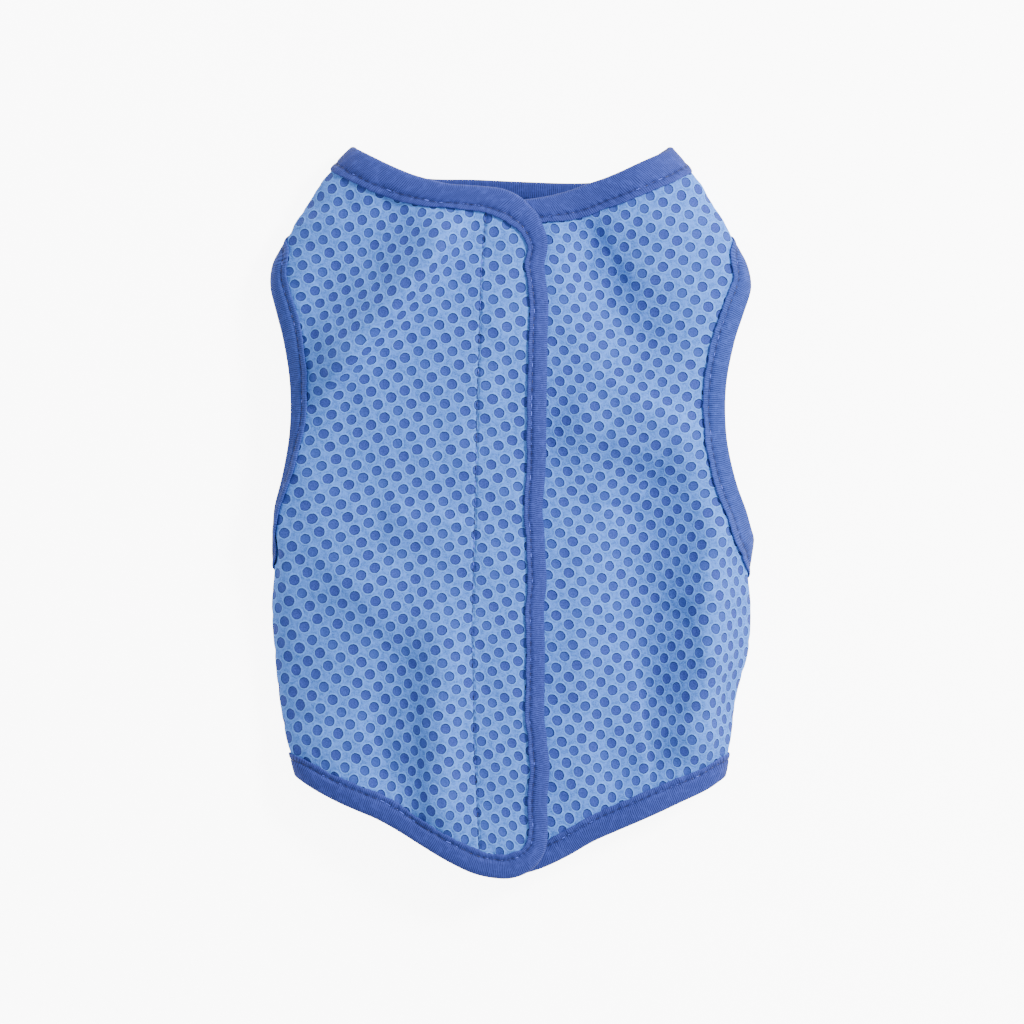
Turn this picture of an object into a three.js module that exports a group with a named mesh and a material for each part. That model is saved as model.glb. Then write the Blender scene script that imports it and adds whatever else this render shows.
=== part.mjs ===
// A small pet's cooling vest, closed down its front and lying on its back.
// X runs across the body, Y from hem to neck and Z up from the surface it lies on.
// Lengths are in millimetres. Left and right are as seen from above.

import * as THREE from "three";

// Body
const VEST_WIDTH = 186; // across the body at its widest
const VEST_LENGTH = 277; // hem tip to neck peak
const CROWN_HEIGHT = 26; // floor to the middle of the front cloth at its highest
const FOLD_RADIUS = 4; // round the side and shoulder folds
const SEAM_INSET = 8; // seams lie on the underside, this far in from the folds

// Cloth, tape and the gaps between pieces
const CLOTH = 1.5;
const TAPE = 1;
const TAPE_LAP = 7.7; // how far the tape covers the cloth, in from its cut edge
const TAPE_EASE = 0.95; // between the tape and the faces of the cloth inside it
const EDGE_EASE = 0.5; // between the tape's fold and the cloth's cut edge
const CLEARANCE = 0.3;
const FLOOR_GAP = 0.2; // under the tape along the back panel's edges
const TAPED_ZONE = 10.4; // cloth within this of a cut edge follows the tape
const LIFT_END = 18.5; // the back panel lies on the floor from this far in

// Neck and hem, as drops from the neck peaks and from the side corners
const FRONT_NECK_DROP = 17;
const BACK_NECK_DROP = 14;
const HEM_DROP = 40;
const HEM_SIDE_RISE = 39.8; // hem tip up to the hem's side corners
const BACK_HEM_RISE = 9;

// Armholes
const ARMHOLE_FALL = 43.5; // neck peak down to the top of the armhole
const ARMHOLE_LENGTH = { left: 102, right: 105 };
const ARMHOLE_DEPTH = { left: 8.4, right: 12.2 };
const UNDERARM_DROP = 8.4; // from the fold down to the seam
const SHOULDER_RISE = 4.6; // from the fold up to the seam
const BACK_ARMHOLE_CUT = 7; // how much further in the back panel is cut

// Front closure
const OVERLAP_REACH = 12; // the overlap panel's edge, past the centre line
const UNDERLAP_REACH = 16; // the underlap panel's edge, past the centre line
const CORNER_RADIUS = 17;
const HOOK_WIDTH = 18; // tape under the overlap panel
const LOOP_WIDTH = 17; // tape on the underlap panel
const FASTENER_TAPE = 1.9; // thickness of each of the two
const STRIP_EASE = 2; // between them and the tape on the edges
const STRIP_ENDS = 12; // the same at the rounded corners

// Fineness of the mesh
const ARC_STEPS = 36;
const TAPE_STEP = 1.2; // closest spacing of the tape's sections
const LONGEST_TAPE_STEP = 16;
const TAPE_SLACK = 0.1; // how far a section may lie off a straight and still be left out
const PROBE = 0.05; // step for slopes

// The body's half widths, as shares of half VEST_WIDTH, and the height of its front,
// as a share of CROWN_HEIGHT. "at" is a share of VEST_LENGTH, up from the hem tip.
const BODY_SECTIONS = [
  { at: -0.04, left: 0.83, right: 0.82, crown: 0.78 },
  { at: 0.1, left: 0.862, right: 0.848, crown: 0.82 },
  { at: 0.15, left: 0.876, right: 0.86, crown: 0.85 },
  { at: 0.19, left: 0.912, right: 0.884, crown: 0.88 },
  { at: 0.25, left: 0.943, right: 0.908, crown: 0.92 },
  { at: 0.31, left: 0.961, right: 0.956, crown: 0.96 },
  { at: 0.37, left: 0.972, right: 0.966, crown: 0.99 },
  { at: 0.425, left: 0.96, right: 0.953, crown: 1 },
  { at: 0.47, left: 0.96, right: 0.974, crown: 1 },
  { at: 0.51, left: 0.98, right: 0.984, crown: 1 },
  { at: 0.65, left: 0.974, right: 0.98, crown: 1 },
  { at: 0.8, left: 0.974, right: 0.968, crown: 0.98 },
  { at: 0.837, left: 0.96, right: 0.942, crown: 0.97 },
  { at: 0.855, left: 0.93, right: 0.912, crown: 0.96 },
  { at: 0.89, left: 0.884, right: 0.868, crown: 0.95 },
  { at: 0.93, left: 0.807, right: 0.793, crown: 0.92 },
  { at: 0.952, left: 0.766, right: 0.755, crown: 0.91 },
  { at: 0.985, left: 0.672, right: 0.663, crown: 0.89 },
  { at: 1, left: 0.634, right: 0.634, crown: 0.88 },
  { at: 1.05, left: 0.52, right: 0.53, crown: 0.86 },
];

// Neck edges: "across" is a share of half VEST_WIDTH and "drop" of that neck's own drop.
const NECK_EDGES = {
  overlap: [
    { across: -0.7, drop: -0.12 },
    { across: -0.655, drop: 0 },
    { across: -0.52, drop: 0.38 },
    { across: -0.416, drop: 0.63 },
    { across: -0.33, drop: 0.77 },
    { across: -0.25, drop: 0.87 },
    { across: -0.15, drop: 0.9 },
    { across: -0.05, drop: 0.97 },
    { across: 0.05, drop: 1.1 },
    { across: 0.15, drop: 1.35 },
  ],
  underlap: [
    { across: 0.71, drop: -0.12 },
    { across: 0.665, drop: 0.02 },
    { across: 0.54, drop: 0.33 },
    { across: 0.41, drop: 0.66 },
    { across: 0.3, drop: 0.87 },
    { across: 0.2, drop: 1.06 },
    { across: 0.08, drop: 1.18 },
    { across: -0.05, drop: 1.25 },
    { across: -0.2, drop: 1.32 },
  ],
  back: [
    { across: -0.7, drop: -0.2 },
    { across: -0.6, drop: 0.26 },
    { across: -0.48, drop: 0.64 },
    { across: -0.36, drop: 0.86 },
    { across: -0.15, drop: 0.92 },
    { across: 0.05, drop: 1 },
    { across: 0.28, drop: 1.06 },
    { across: 0.4, drop: 0.98 },
    { across: 0.52, drop: 0.66 },
    { across: 0.62, drop: 0.24 },
    { across: 0.71, drop: -0.2 },
  ],
};

// Hem edges: "drop" is a share of HEM_DROP below the side corners.
const HEM_EDGES = {
  overlap: [
    { across: -0.98, drop: -0.12 },
    { across: -0.89, drop: 0.02 },
    { across: -0.8, drop: 0.16 },
    { across: -0.675, drop: 0.31 },
    { across: -0.55, drop: 0.43 },
    { across: -0.455, drop: 0.55 },
    { across: -0.373, drop: 0.67 },
    { across: -0.28, drop: 0.8 },
    { across: -0.18, drop: 0.925 },
    { across: -0.08, drop: 0.985 },
    { across: 0.02, drop: 0.995 },
    { across: 0.16, drop: 0.96 },
  ],
  underlap: [
    { across: 0.98, drop: -0.1 },
    { across: 0.88, drop: 0.02 },
    { across: 0.79, drop: 0.16 },
    { across: 0.68, drop: 0.28 },
    { across: 0.56, drop: 0.41 },
    { across: 0.43, drop: 0.54 },
    { across: 0.32, drop: 0.68 },
    { across: 0.22, drop: 0.82 },
    { across: 0.12, drop: 0.93 },
    { across: 0.02, drop: 1 },
    { across: -0.08, drop: 1.02 },
    { across: -0.2, drop: 1 },
  ],
};

// The armhole's cut in the front panel, down from its top: "depth" is a share of its own depth.
const ARMHOLE_CUT = [
  { down: 0, depth: 0 },
  { down: 0.08, depth: 0.06 },
  { down: 0.2, depth: 0.44 },
  { down: 0.33, depth: 0.8 },
  { down: 0.45, depth: 0.96 },
  { down: 0.54, depth: 1 },
  { down: 0.64, depth: 0.94 },
  { down: 0.75, depth: 0.76 },
  { down: 0.85, depth: 0.48 },
  { down: 0.94, depth: 0.17 },
  { down: 1, depth: 0 },
];

// The same in the back panel, up from the underarm seam, as shares of BACK_ARMHOLE_CUT.
const BACK_CUT = [
  { up: 0, depth: 0 },
  { up: 0.03, depth: 0.45 },
  { up: 0.08, depth: 0.8 },
  { up: 0.2, depth: 1 },
  { up: 0.6, depth: 1 },
  { up: 0.8, depth: 0.9 },
  { up: 0.92, depth: 0.5 },
  { up: 1, depth: 0 },
];

// Folds in the front cloth, from one point to another, as shares of half VEST_WIDTH and of
// half VEST_LENGTH. "rise" is in shares of CROWN_HEIGHT. A fold falls away over "before" on
// the left of its line, looking from start to end, and over "after" on its right.
const FOLDS = [
  { panel: "overlap", x1: -0.19, y1: 0.8, x2: -0.76, y2: 0.34, rise: 0.13, before: 0.17, after: 0.07 },
  { panel: "overlap", x1: -0.42, y1: 0.84, x2: -0.84, y2: 0.56, rise: -0.07, before: 0.12, after: 0.1 },
  { panel: "overlap", x1: -0.27, y1: -0.44, x2: -0.25, y2: -0.9, rise: 0.11, before: 0.16, after: 0.06 },
  { panel: "overlap", x1: -0.38, y1: -0.56, x2: -0.4, y2: -0.84, rise: -0.06, before: 0.08, after: 0.1 },
  { panel: "overlap", x1: -0.16, y1: -0.05, x2: -0.5, y2: -0.02, rise: 0.05, before: 0.1, after: 0.06 },
  { panel: "overlap", x1: -0.86, y1: 0.1, x2: -0.5, y2: -0.3, rise: 0.05, before: 0.14, after: 0.14 },
  { panel: "underlap", x1: 0.22, y1: 0.6, x2: 0.8, y2: 0.22, rise: 0.1, before: 0.12, after: 0.12 },
  { panel: "underlap", x1: 0.3, y1: 0.8, x2: 0.62, y2: 0.46, rise: -0.09, before: 0.12, after: 0.1 },
  { panel: "underlap", x1: 0.8, y1: 0.26, x2: 0.45, y2: -0.06, rise: -0.06, before: 0.1, after: 0.1 },
  { panel: "underlap", x1: 0.2, y1: -0.02, x2: 0.5, y2: 0.02, rise: -0.04, before: 0.06, after: 0.08 },
  { panel: "underlap", x1: 0.66, y1: -0.3, x2: 0.66, y2: -0.78, rise: -0.14, before: 0.12, after: 0.12 },
  { panel: "underlap", x1: 0.4, y1: -0.3, x2: 0.52, y2: -0.82, rise: 0.06, before: 0.1, after: 0.12 },
];

const HALF_WIDTH = VEST_WIDTH / 2;
const SLOT = CLOTH / 2 + TAPE_EASE; // middle of the cloth to the tape's inner face
const TAPE_OUT = SLOT + TAPE; // middle of the cloth to the tape's outer face
const TAPE_EDGE = EDGE_EASE + TAPE; // how far the tape stands out past the cut edge
const TAPE_LIFT = TAPE_EASE + TAPE + FLOOR_GAP;
const LAYER_STEP = CLOTH + 2 * FASTENER_TAPE + 3 * CLEARANCE; // overlap above underlap
const WRAP_LENGTH = (Math.PI / 2) * FOLD_RADIUS + SEAM_INSET - FOLD_RADIUS;
const BOTTOM = -VEST_LENGTH / 2 + TAPE_EDGE;
const PEAK = VEST_LENGTH / 2 - TAPE_EDGE;
const ARMHOLE_TOP = PEAK - ARMHOLE_FALL;

const clamp = (value, low, high) => Math.min(high, Math.max(low, value));
const mix = (a, b, share) => a + (b - a) * share;

function smoothStep(share) {
  const s = clamp(share, 0, 1);
  return s * s * (3 - 2 * s);
}

// A smooth curve through a table's rows, read at one value of its first column.
function readTable(rows, key, column, value) {
  const rising = rows[0][key] < rows[rows.length - 1][key];
  const r = rising ? rows : [...rows].reverse();
  let i = 0;
  while (i < r.length - 2 && value > r[i + 1][key]) i++;
  const slope = (j) => {
    const a = Math.max(0, j - 1);
    const b = Math.min(r.length - 1, j + 1);
    return (r[b][column] - r[a][column]) / (r[b][key] - r[a][key]);
  };
  const run = r[i + 1][key] - r[i][key];
  const t = clamp((value - r[i][key]) / run, 0, 1);
  const bend = t * t * (3 - 2 * t);
  return (
    mix(r[i][column], r[i + 1][column], bend) +
    run * (t * (1 - t) * (1 - t) * slope(i) - t * t * (1 - t) * slope(i + 1))
  );
}

const sideOf = (x) => (x < 0 ? "left" : "right");
const bodyAt = (y, column) => readTable(BODY_SECTIONS, "at", column, (y + VEST_LENGTH / 2) / VEST_LENGTH);
const halfWidth = (side, y) => HALF_WIDTH * bodyAt(y, side);

function neckEdge(panel, x) {
  const drop = panel === "back" ? BACK_NECK_DROP : FRONT_NECK_DROP;
  return PEAK - drop * readTable(NECK_EDGES[panel], "across", "drop", x / HALF_WIDTH);
}

const HEM_SIDE = BOTTOM + HEM_SIDE_RISE;
const hemEdge = (panel, x) => HEM_SIDE - HEM_DROP * readTable(HEM_EDGES[panel], "across", "drop", x / HALF_WIDTH);

const seamAt = (side, y) => halfWidth(side, y) - SEAM_INSET;
const armholeBottom = (side) => ARMHOLE_TOP - ARMHOLE_LENGTH[side];
const underarmSeam = (side) => armholeBottom(side) - UNDERARM_DROP;
const SHOULDER_SEAM = ARMHOLE_TOP + SHOULDER_RISE;

// Where the neck and hem cross the seams on the underside.
const NECK_SEAM = PEAK - BACK_NECK_DROP * 0.28;
const HEM_SEAM = HEM_SIDE + BACK_HEM_RISE * 0.15;

function backHem(x) {
  const side = sideOf(x);
  const share = clamp(Math.abs(x) / seamAt(side, HEM_SEAM), 0, 1);
  return mix(HEM_SIDE + BACK_HEM_RISE, HEM_SEAM, share ** 3);
}

function backArmhole(side, y) {
  const up = clamp((y - underarmSeam(side)) / (SHOULDER_SEAM - underarmSeam(side)), 0, 1);
  return seamAt(side, y) - CLEARANCE - BACK_ARMHOLE_CUT * readTable(BACK_CUT, "up", "depth", up);
}

// How far the underside's cloth is lifted off the floor by the tape on its edges.
function tapeLift(x, y) {
  const side = sideOf(x);
  const toNeck = Math.min(neckEdge("back", x), NECK_SEAM) - y;
  const toHem = y - backHem(x);
  const beyond = Math.max(underarmSeam(side) - y, y - SHOULDER_SEAM, 0);
  const toArmhole = Math.hypot(beyond, Math.max(backArmhole(side, y) - Math.abs(x), 0));
  const nearest = Math.min(toNeck, toHem, toArmhole);
  return TAPE_LIFT * (1 - smoothStep((nearest - TAPED_ZONE) / (LIFT_END - TAPED_ZONE)));
}

const foldCentre = (side, y) => FOLD_RADIUS + CLOTH / 2 + tapeLift((side === "left" ? -1 : 1) * halfWidth(side, y), y);

// The front's folds and creases, which die out at the taped edges and over the fastener.
function foldRise(panel, x, y) {
  let rise = 0;
  for (const fold of FOLDS.filter((f) => f.panel === panel)) {
    const start = new THREE.Vector2(fold.x1 * HALF_WIDTH, (fold.y1 * VEST_LENGTH) / 2);
    const end = new THREE.Vector2(fold.x2 * HALF_WIDTH, (fold.y2 * VEST_LENGTH) / 2);
    const line = end.clone().sub(start);
    const from = new THREE.Vector2(x, y).sub(start);
    const along = from.dot(line) / line.lengthSq();
    const across = (line.x * from.y - line.y * from.x) / line.length();
    const reach = (across > 0 ? fold.before : fold.after) * HALF_WIDTH;
    const ends = smoothStep((along + 0.2) / 0.4) * smoothStep((1.2 - along) / 0.4);
    rise += fold.rise * CROWN_HEIGHT * ends * Math.exp(-((across / reach) ** 2));
  }
  const neck = neckEdge(panel, x) - y;
  const hem = y - hemEdge(panel, x);
  const side = panel === "overlap" ? -x : x;
  const sideDistance = halfWidth(sideOf(x), y) - Math.abs(x);
  const armhole = inArmhole(sideOf(x), y) ? sideDistance - armholeDepth(sideOf(x), y) : sideDistance;
  const edges = smoothStep((Math.min(neck, hem) - TAPE_LAP) / LIFT_END) * smoothStep(armhole / LIFT_END);
  const strip = smoothStep((side - OVERLAP_REACH) / LIFT_END);
  return rise * edges * strip;
}

function armholeDepth(side, y) {
  const down = clamp((ARMHOLE_TOP - y) / ARMHOLE_LENGTH[side], 0, 1);
  return ARMHOLE_DEPTH[side] * readTable(ARMHOLE_CUT, "down", "depth", down);
}

const inArmhole = (side, y) => y < ARMHOLE_TOP && y > armholeBottom(side);

// Height of the middle of the front cloth, without its folds. The underlap lies one layer
// lower behind the overlap and comes up level with it further out.
function domeHeight(panel, x, y) {
  const side = sideOf(x);
  const base = foldCentre(side, y);
  const share = clamp(Math.abs(x) / halfWidth(side, y), 0, 1);
  const arch = Math.sqrt(1 - share * share);
  const top = base + (CROWN_HEIGHT * bodyAt(y, "crown") - base) * arch;
  if (panel === "overlap") return top;
  const beyond = (x - OVERLAP_REACH - 3 * TAPE_EDGE) / (halfWidth("right", y) * 0.6);
  return top - LAYER_STEP * (1 - smoothStep(beyond)) * arch;
}

const PANEL_SIDE = { overlap: "left", underlap: "right" };
const PANEL_SIGN = { overlap: -1, underlap: 1 };

// Lengths along the cloth, from the centre line out to the side fold, at one height.
function girthTable(panel, y) {
  const sign = PANEL_SIGN[panel];
  const width = halfWidth(PANEL_SIDE[panel], y);
  const rows = [];
  let length = 0;
  for (let i = 0; i <= ARC_STEPS; i++) {
    const out = width * Math.sin(((i / ARC_STEPS) * Math.PI) / 2);
    const up = domeHeight(panel, sign * out, y);
    if (i) length += Math.hypot(out - rows[i - 1].out, up - rows[i - 1].up);
    rows.push({ length, out, up });
  }
  return rows;
}

function lookUp(rows, from, to, value) {
  let i = 1;
  while (i < rows.length - 1 && rows[i][from] < value) i++;
  const share = (value - rows[i - 1][from]) / (rows[i][from] - rows[i - 1][from]);
  return mix(rows[i - 1][to], rows[i][to], clamp(share, 0, 1));
}

// A point in the middle of a front panel's cloth. "wrap" is the length along the cloth from
// the side fold: below zero over the front, above zero round the fold and on underneath.
function frontPoint(panel, wrap, y) {
  const sign = PANEL_SIGN[panel];
  const side = PANEL_SIDE[panel];
  if (wrap <= 0) {
    const rows = girthTable(panel, y);
    const girth = wrap + rows[rows.length - 1].length;
    const x = sign * (girth < 0 ? girth : lookUp(rows, "length", "out", girth));
    return new THREE.Vector3(x, y, domeHeight(panel, x, y) + foldRise(panel, x, y));
  }
  const turn = Math.min(wrap / FOLD_RADIUS, Math.PI / 2);
  const under = Math.max(wrap - (FOLD_RADIUS * Math.PI) / 2, 0);
  const out = halfWidth(side, y) - FOLD_RADIUS * (1 - Math.cos(turn)) - under;
  const centre = foldCentre(side, y);
  const flat = FOLD_RADIUS + CLOTH / 2 + tapeLift(sign * out, y);
  return new THREE.Vector3(sign * out, y, mix(centre, flat, turn / (Math.PI / 2)) - FOLD_RADIUS * Math.sin(turn));
}

const backPoint = (x, y) => new THREE.Vector3(x, y, CLOTH / 2 + tapeLift(x, y));

// A surface is a function of two values that gives a point. This adds its slopes and the
// direction that faces out of the vest.
function surfaceAt(surface, u, v) {
  const du = surface.point(u + PROBE, v).sub(surface.point(u - PROBE, v)).divideScalar(2 * PROBE);
  const dv = surface.point(u, v + PROBE).sub(surface.point(u, v - PROBE)).divideScalar(2 * PROBE);
  const normal = du.clone().cross(dv).normalize().multiplyScalar(surface.facing);
  return { u, v, surface, point: surface.point(u, v), du, dv, normal };
}

const SURFACES = {
  overlap: { point: (u, v) => frontPoint("overlap", u, v), facing: -1 },
  underlap: { point: (u, v) => frontPoint("underlap", u, v), facing: 1 },
  back: { point: backPoint, facing: -1 },
};

// Places on a front panel as "wrap" and y: one on its front, a distance out from the centre
// line, and one round the side fold.
function onFront(panel, out, y) {
  const rows = girthTable(panel, y);
  const girth = out <= 0 ? out : lookUp(rows, "out", "length", out);
  return new THREE.Vector2(girth - rows[rows.length - 1].length, y);
}

const pastFold = (wrap, y) => new THREE.Vector2(wrap, y);

// A corner between two edges, rounded with one curve. Returns the two trimmed ends and the
// middle of the curve, from which the grid's corner is taken.
function roundedCorner(before, corner, after) {
  const curve = new THREE.QuadraticBezierCurve(before, corner, after);
  return { start: [0, 0.25].map((t) => curve.getPoint(t)), middle: curve.getPoint(0.5), end: [0.75, 1].map((t) => curve.getPoint(t)) };
}

// Rows along the side seam and the shoulder seam, with one at each edge of the taped zones.
function sideRows(side) {
  const top = underarmSeam(side);
  const inner = [0, 1, 2, 3].map((i) => mix(HEM_SEAM + LIFT_END, top - LIFT_END, i / 3));
  return [HEM_SEAM, HEM_SEAM + TAPED_ZONE, ...inner, top - TAPED_ZONE, top - TAPED_ZONE / 2];
}

const SHOULDER_ROWS = [
  SHOULDER_SEAM + TAPED_ZONE / 2,
  SHOULDER_SEAM + TAPED_ZONE,
  mix(SHOULDER_SEAM, NECK_SEAM, 0.5),
  NECK_SEAM - TAPED_ZONE,
  NECK_SEAM - TAPED_ZONE / 2,
  NECK_SEAM,
];

// Columns of a front panel's grid: even over the front, closer round the side fold.
const FRONT_COLUMNS = [
  0, 0.07, 0.15, 0.25, 0.36, 0.47, 0.58, 0.68, 0.77, 0.835, 0.868, 0.893, 0.915, 0.937, 0.958, 0.978, 1,
];
const INNER_ROWS = [0.12, 0.2, 0.3, 0.4, 0.5, 0.6, 0.7, 0.8, 0.87];
const UNDERARM_WRAP = [
  { wrap: 1, fall: 1 },
  { wrap: 0.8, fall: 0.965 },
  { wrap: 0.62, fall: 0.88 },
  { wrap: 0.45, fall: 0.74 },
  { wrap: 0.29, fall: 0.55 },
  { wrap: 0.13, fall: 0.29 },
];
const ARMHOLE_ROWS = [0, 0.04, 0.1, 0.22, 0.38, 0.56, 0.72, 0.83, 0.88, 0.92, 0.96, 1];

// The outer edge of a front panel, from the hem up: side seam, armhole and shoulder seam.
function outerEdge(panel) {
  const side = PANEL_SIDE[panel];
  const points = sideRows(side).map((y) => pastFold(WRAP_LENGTH, y));
  const armStart = points.length;
  for (const row of UNDERARM_WRAP) {
    points.push(pastFold(WRAP_LENGTH * row.wrap, armholeBottom(side) - UNDERARM_DROP * row.fall));
  }
  for (const up of ARMHOLE_ROWS) {
    const y = mix(armholeBottom(side), ARMHOLE_TOP, up);
    points.push(onFront(panel, halfWidth(side, y) - armholeDepth(side, y), y));
  }
  for (const row of [...UNDERARM_WRAP].reverse()) {
    points.push(pastFold(WRAP_LENGTH * row.wrap, ARMHOLE_TOP + SHOULDER_RISE * row.fall));
  }
  const armEnd = points.length - 1;
  points.push(...SHOULDER_ROWS.map((y) => pastFold(WRAP_LENGTH, y)));
  return { points, armStart, armEnd };
}

// A neck or hem edge, from the panel's front corner out and round the side fold.
function crossEdge(panel, edge, cornerOut, foldY, seamY) {
  const side = PANEL_SIDE[panel];
  const sign = PANEL_SIGN[panel];
  const foldOut = halfWidth(side, foldY);
  const steps = 12;
  const points = [];
  for (let i = 0; i < steps; i++) {
    const out = mix(cornerOut, foldOut, Math.sin(((i / steps) * Math.PI) / 2));
    points.push(onFront(panel, out, edge(panel, sign * out)));
  }
  points.push(pastFold(0, foldY));
  points.push(pastFold(WRAP_LENGTH * 0.5, mix(foldY, seamY, 0.35)));
  points.push(pastFold(WRAP_LENGTH, seamY));
  return points;
}

// A front panel's grid of places on its surface, row by row from hem to neck.
function frontGrid(panel) {
  const side = PANEL_SIDE[panel];
  const reach = panel === "overlap" ? OVERLAP_REACH : UNDERLAP_REACH;
  const sign = PANEL_SIGN[panel];
  const hemFold = hemEdge(panel, sign * halfWidth(side, HEM_SIDE));
  const high = neckEdge(panel, -sign * reach);
  const deep = hemEdge(panel, -sign * reach);
  const trim = CORNER_RADIUS - reach;
  const neck = roundedCorner(
    onFront(panel, -reach, high - CORNER_RADIUS),
    onFront(panel, -reach, high),
    onFront(panel, trim, neckEdge(panel, sign * trim)),
  );
  const hem = roundedCorner(
    onFront(panel, -reach, deep + CORNER_RADIUS),
    onFront(panel, -reach, deep),
    onFront(panel, trim, hemEdge(panel, sign * trim)),
  );
  const top = new THREE.SplineCurve([neck.middle, neck.end[0], ...crossEdge(panel, neckEdge, trim, PEAK, NECK_SEAM)]);
  const low = new THREE.SplineCurve([hem.middle, hem.end[0], ...crossEdge(panel, hemEdge, trim, hemFold, HEM_SEAM)]);
  const inner = new THREE.SplineCurve([
    hem.middle,
    ...[...hem.start].reverse(),
    ...INNER_ROWS.map((up) => onFront(panel, -reach, mix(deep, high, up))),
    ...neck.start,
    neck.middle,
  ]);
  const outer = outerEdge(panel);
  const low0 = outer.points[0].y;
  const high0 = outer.points[outer.points.length - 1].y;
  let last = -1;
  const rows = outer.points.map((o) => {
    last = Math.max((o.y - low0) / (high0 - low0), last + 0.004);
    return Math.min(last, 1);
  });
  const last1 = rows[rows.length - 1];
  const grid = outer.points.map((o, j) => {
    const t = rows[j] / last1;
    const i0 = inner.getPointAt(t);
    return FRONT_COLUMNS.map((s) => {
      const b = low.getPointAt(s);
      const n = top.getPointAt(s);
      const corner = (k) =>
        (1 - s) * (1 - t) * low.points[0][k] +
        s * (1 - t) * outer.points[0][k] +
        (1 - s) * t * top.points[0][k] +
        s * t * outer.points[outer.points.length - 1][k];
      const place = (k) => mix(b[k], n[k], t) + mix(i0[k], o[k], s) - corner(k);
      return surfaceAt(SURFACES[panel], place("x"), place("y"));
    });
  });
  return { grid, armStart: outer.armStart, armEnd: outer.armEnd };
}

const BACK_COLUMNS = [0, 0.07, 0.125, 0.2, 0.3, 0.4, 0.5, 0.6, 0.7, 0.8, 0.875, 0.93, 1];
const BACK_ARM_ROWS = [0, 0.02, 0.05, 0.09, 0.16, 0.28, 0.42, 0.56, 0.7, 0.82, 0.9, 0.96, 1];

function backEdge(side) {
  const sign = side === "left" ? -1 : 1;
  const seamPlace = (y) => new THREE.Vector2(sign * (seamAt(side, y) - CLEARANCE), y);
  const points = sideRows(side).map(seamPlace);
  const armStart = points.length;
  for (const share of BACK_ARM_ROWS) {
    const y = mix(underarmSeam(side), SHOULDER_SEAM, share);
    points.push(new THREE.Vector2(sign * backArmhole(side, y), y));
  }
  const armEnd = points.length - 1;
  points.push(...SHOULDER_ROWS.map(seamPlace));
  return { points, armStart, armEnd };
}

function backGrid() {
  const left = backEdge("left");
  const right = backEdge("right");
  const count = left.points.length;
  const ends = (row) => [left.points[row], right.points[row]];
  const lineAt = (row, edge) => (s) => {
    const [a, b] = ends(row);
    const x = mix(a.x, b.x, s);
    const drift = mix(a.y - edge(a.x), b.y - edge(b.x), s);
    return new THREE.Vector2(x, edge(x) + drift);
  };
  const low = lineAt(0, backHem);
  const top = lineAt(count - 1, (x) => neckEdge("back", x));
  const grid = left.points.map((l, j) => {
    const r = right.points[j];
    const t = (l.y - left.points[0].y) / (left.points[count - 1].y - left.points[0].y);
    return BACK_COLUMNS.map((s) => {
      const b = low(s);
      const n = top(s);
      const corner = (k) => mix(mix(low(0)[k], low(1)[k], s), mix(top(0)[k], top(1)[k], s), t);
      const place = (k) => mix(b[k], n[k], t) + mix(l[k], r[k], s) - corner(k);
      return surfaceAt(SURFACES.back, place("x"), place("y"));
    });
  });
  return { grid, left, right };
}

// One closed body from points and triangles, turned to face outwards.
function closedBody(points, triangles) {
  let volume = 0;
  const edge = new THREE.Vector3();
  for (const [a, b, c] of triangles) {
    volume += edge.copy(points[b]).cross(points[c]).dot(points[a]);
  }
  const index = volume > 0 ? triangles.flat() : triangles.flatMap(([a, b, c]) => [a, c, b]);
  const geometry = new THREE.BufferGeometry().setFromPoints(points).setIndex(index);
  geometry.computeVertexNormals();
  return geometry;
}

// Cloth of even thickness about a grid of places on its surface.
function clothSheet(grid, thickness) {
  const rows = grid.length;
  const columns = grid[0].length;
  const points = [];
  for (const lift of [thickness / 2, -thickness / 2]) {
    for (const row of grid) {
      for (const place of row) points.push(place.point.clone().addScaledVector(place.normal, lift));
    }
  }
  const at = (layer, j, i) => layer * rows * columns + j * columns + i;
  const triangles = [];
  const quad = (a, b, c, d) => triangles.push([a, b, c], [a, c, d]);
  for (let j = 0; j < rows - 1; j++) {
    for (let i = 0; i < columns - 1; i++) {
      quad(at(0, j, i), at(0, j, i + 1), at(0, j + 1, i + 1), at(0, j + 1, i));
      quad(at(1, j, i), at(1, j + 1, i), at(1, j + 1, i + 1), at(1, j, i + 1));
    }
    quad(at(0, j, 0), at(0, j + 1, 0), at(1, j + 1, 0), at(1, j, 0));
    quad(at(0, j + 1, columns - 1), at(0, j, columns - 1), at(1, j, columns - 1), at(1, j + 1, columns - 1));
  }
  for (let i = 0; i < columns - 1; i++) {
    quad(at(0, 0, i + 1), at(0, 0, i), at(1, 0, i), at(1, 0, i + 1));
    quad(at(0, rows - 1, i), at(0, rows - 1, i + 1), at(1, rows - 1, i + 1), at(1, rows - 1, i));
  }
  return closedBody(points, triangles);
}

// A unit step over a surface, square to an edge as its cloth lies flat.
function lapStep(place, tangent, inward) {
  const { du, dv } = place;
  const size = du.dot(du) * dv.dot(dv) - du.dot(dv) ** 2;
  const along = new THREE.Vector2(
    (tangent.dot(du) * dv.dot(dv) - tangent.dot(dv) * du.dot(dv)) / size,
    (tangent.dot(dv) * du.dot(du) - tangent.dot(du) * du.dot(dv)) / size,
  ).normalize();
  const square = new THREE.Vector2(-along.y, along.x);
  const facing = du.clone().multiplyScalar(square.x).addScaledVector(dv, square.y).dot(inward);
  return square.multiplyScalar(Math.sign(facing));
}

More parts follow.
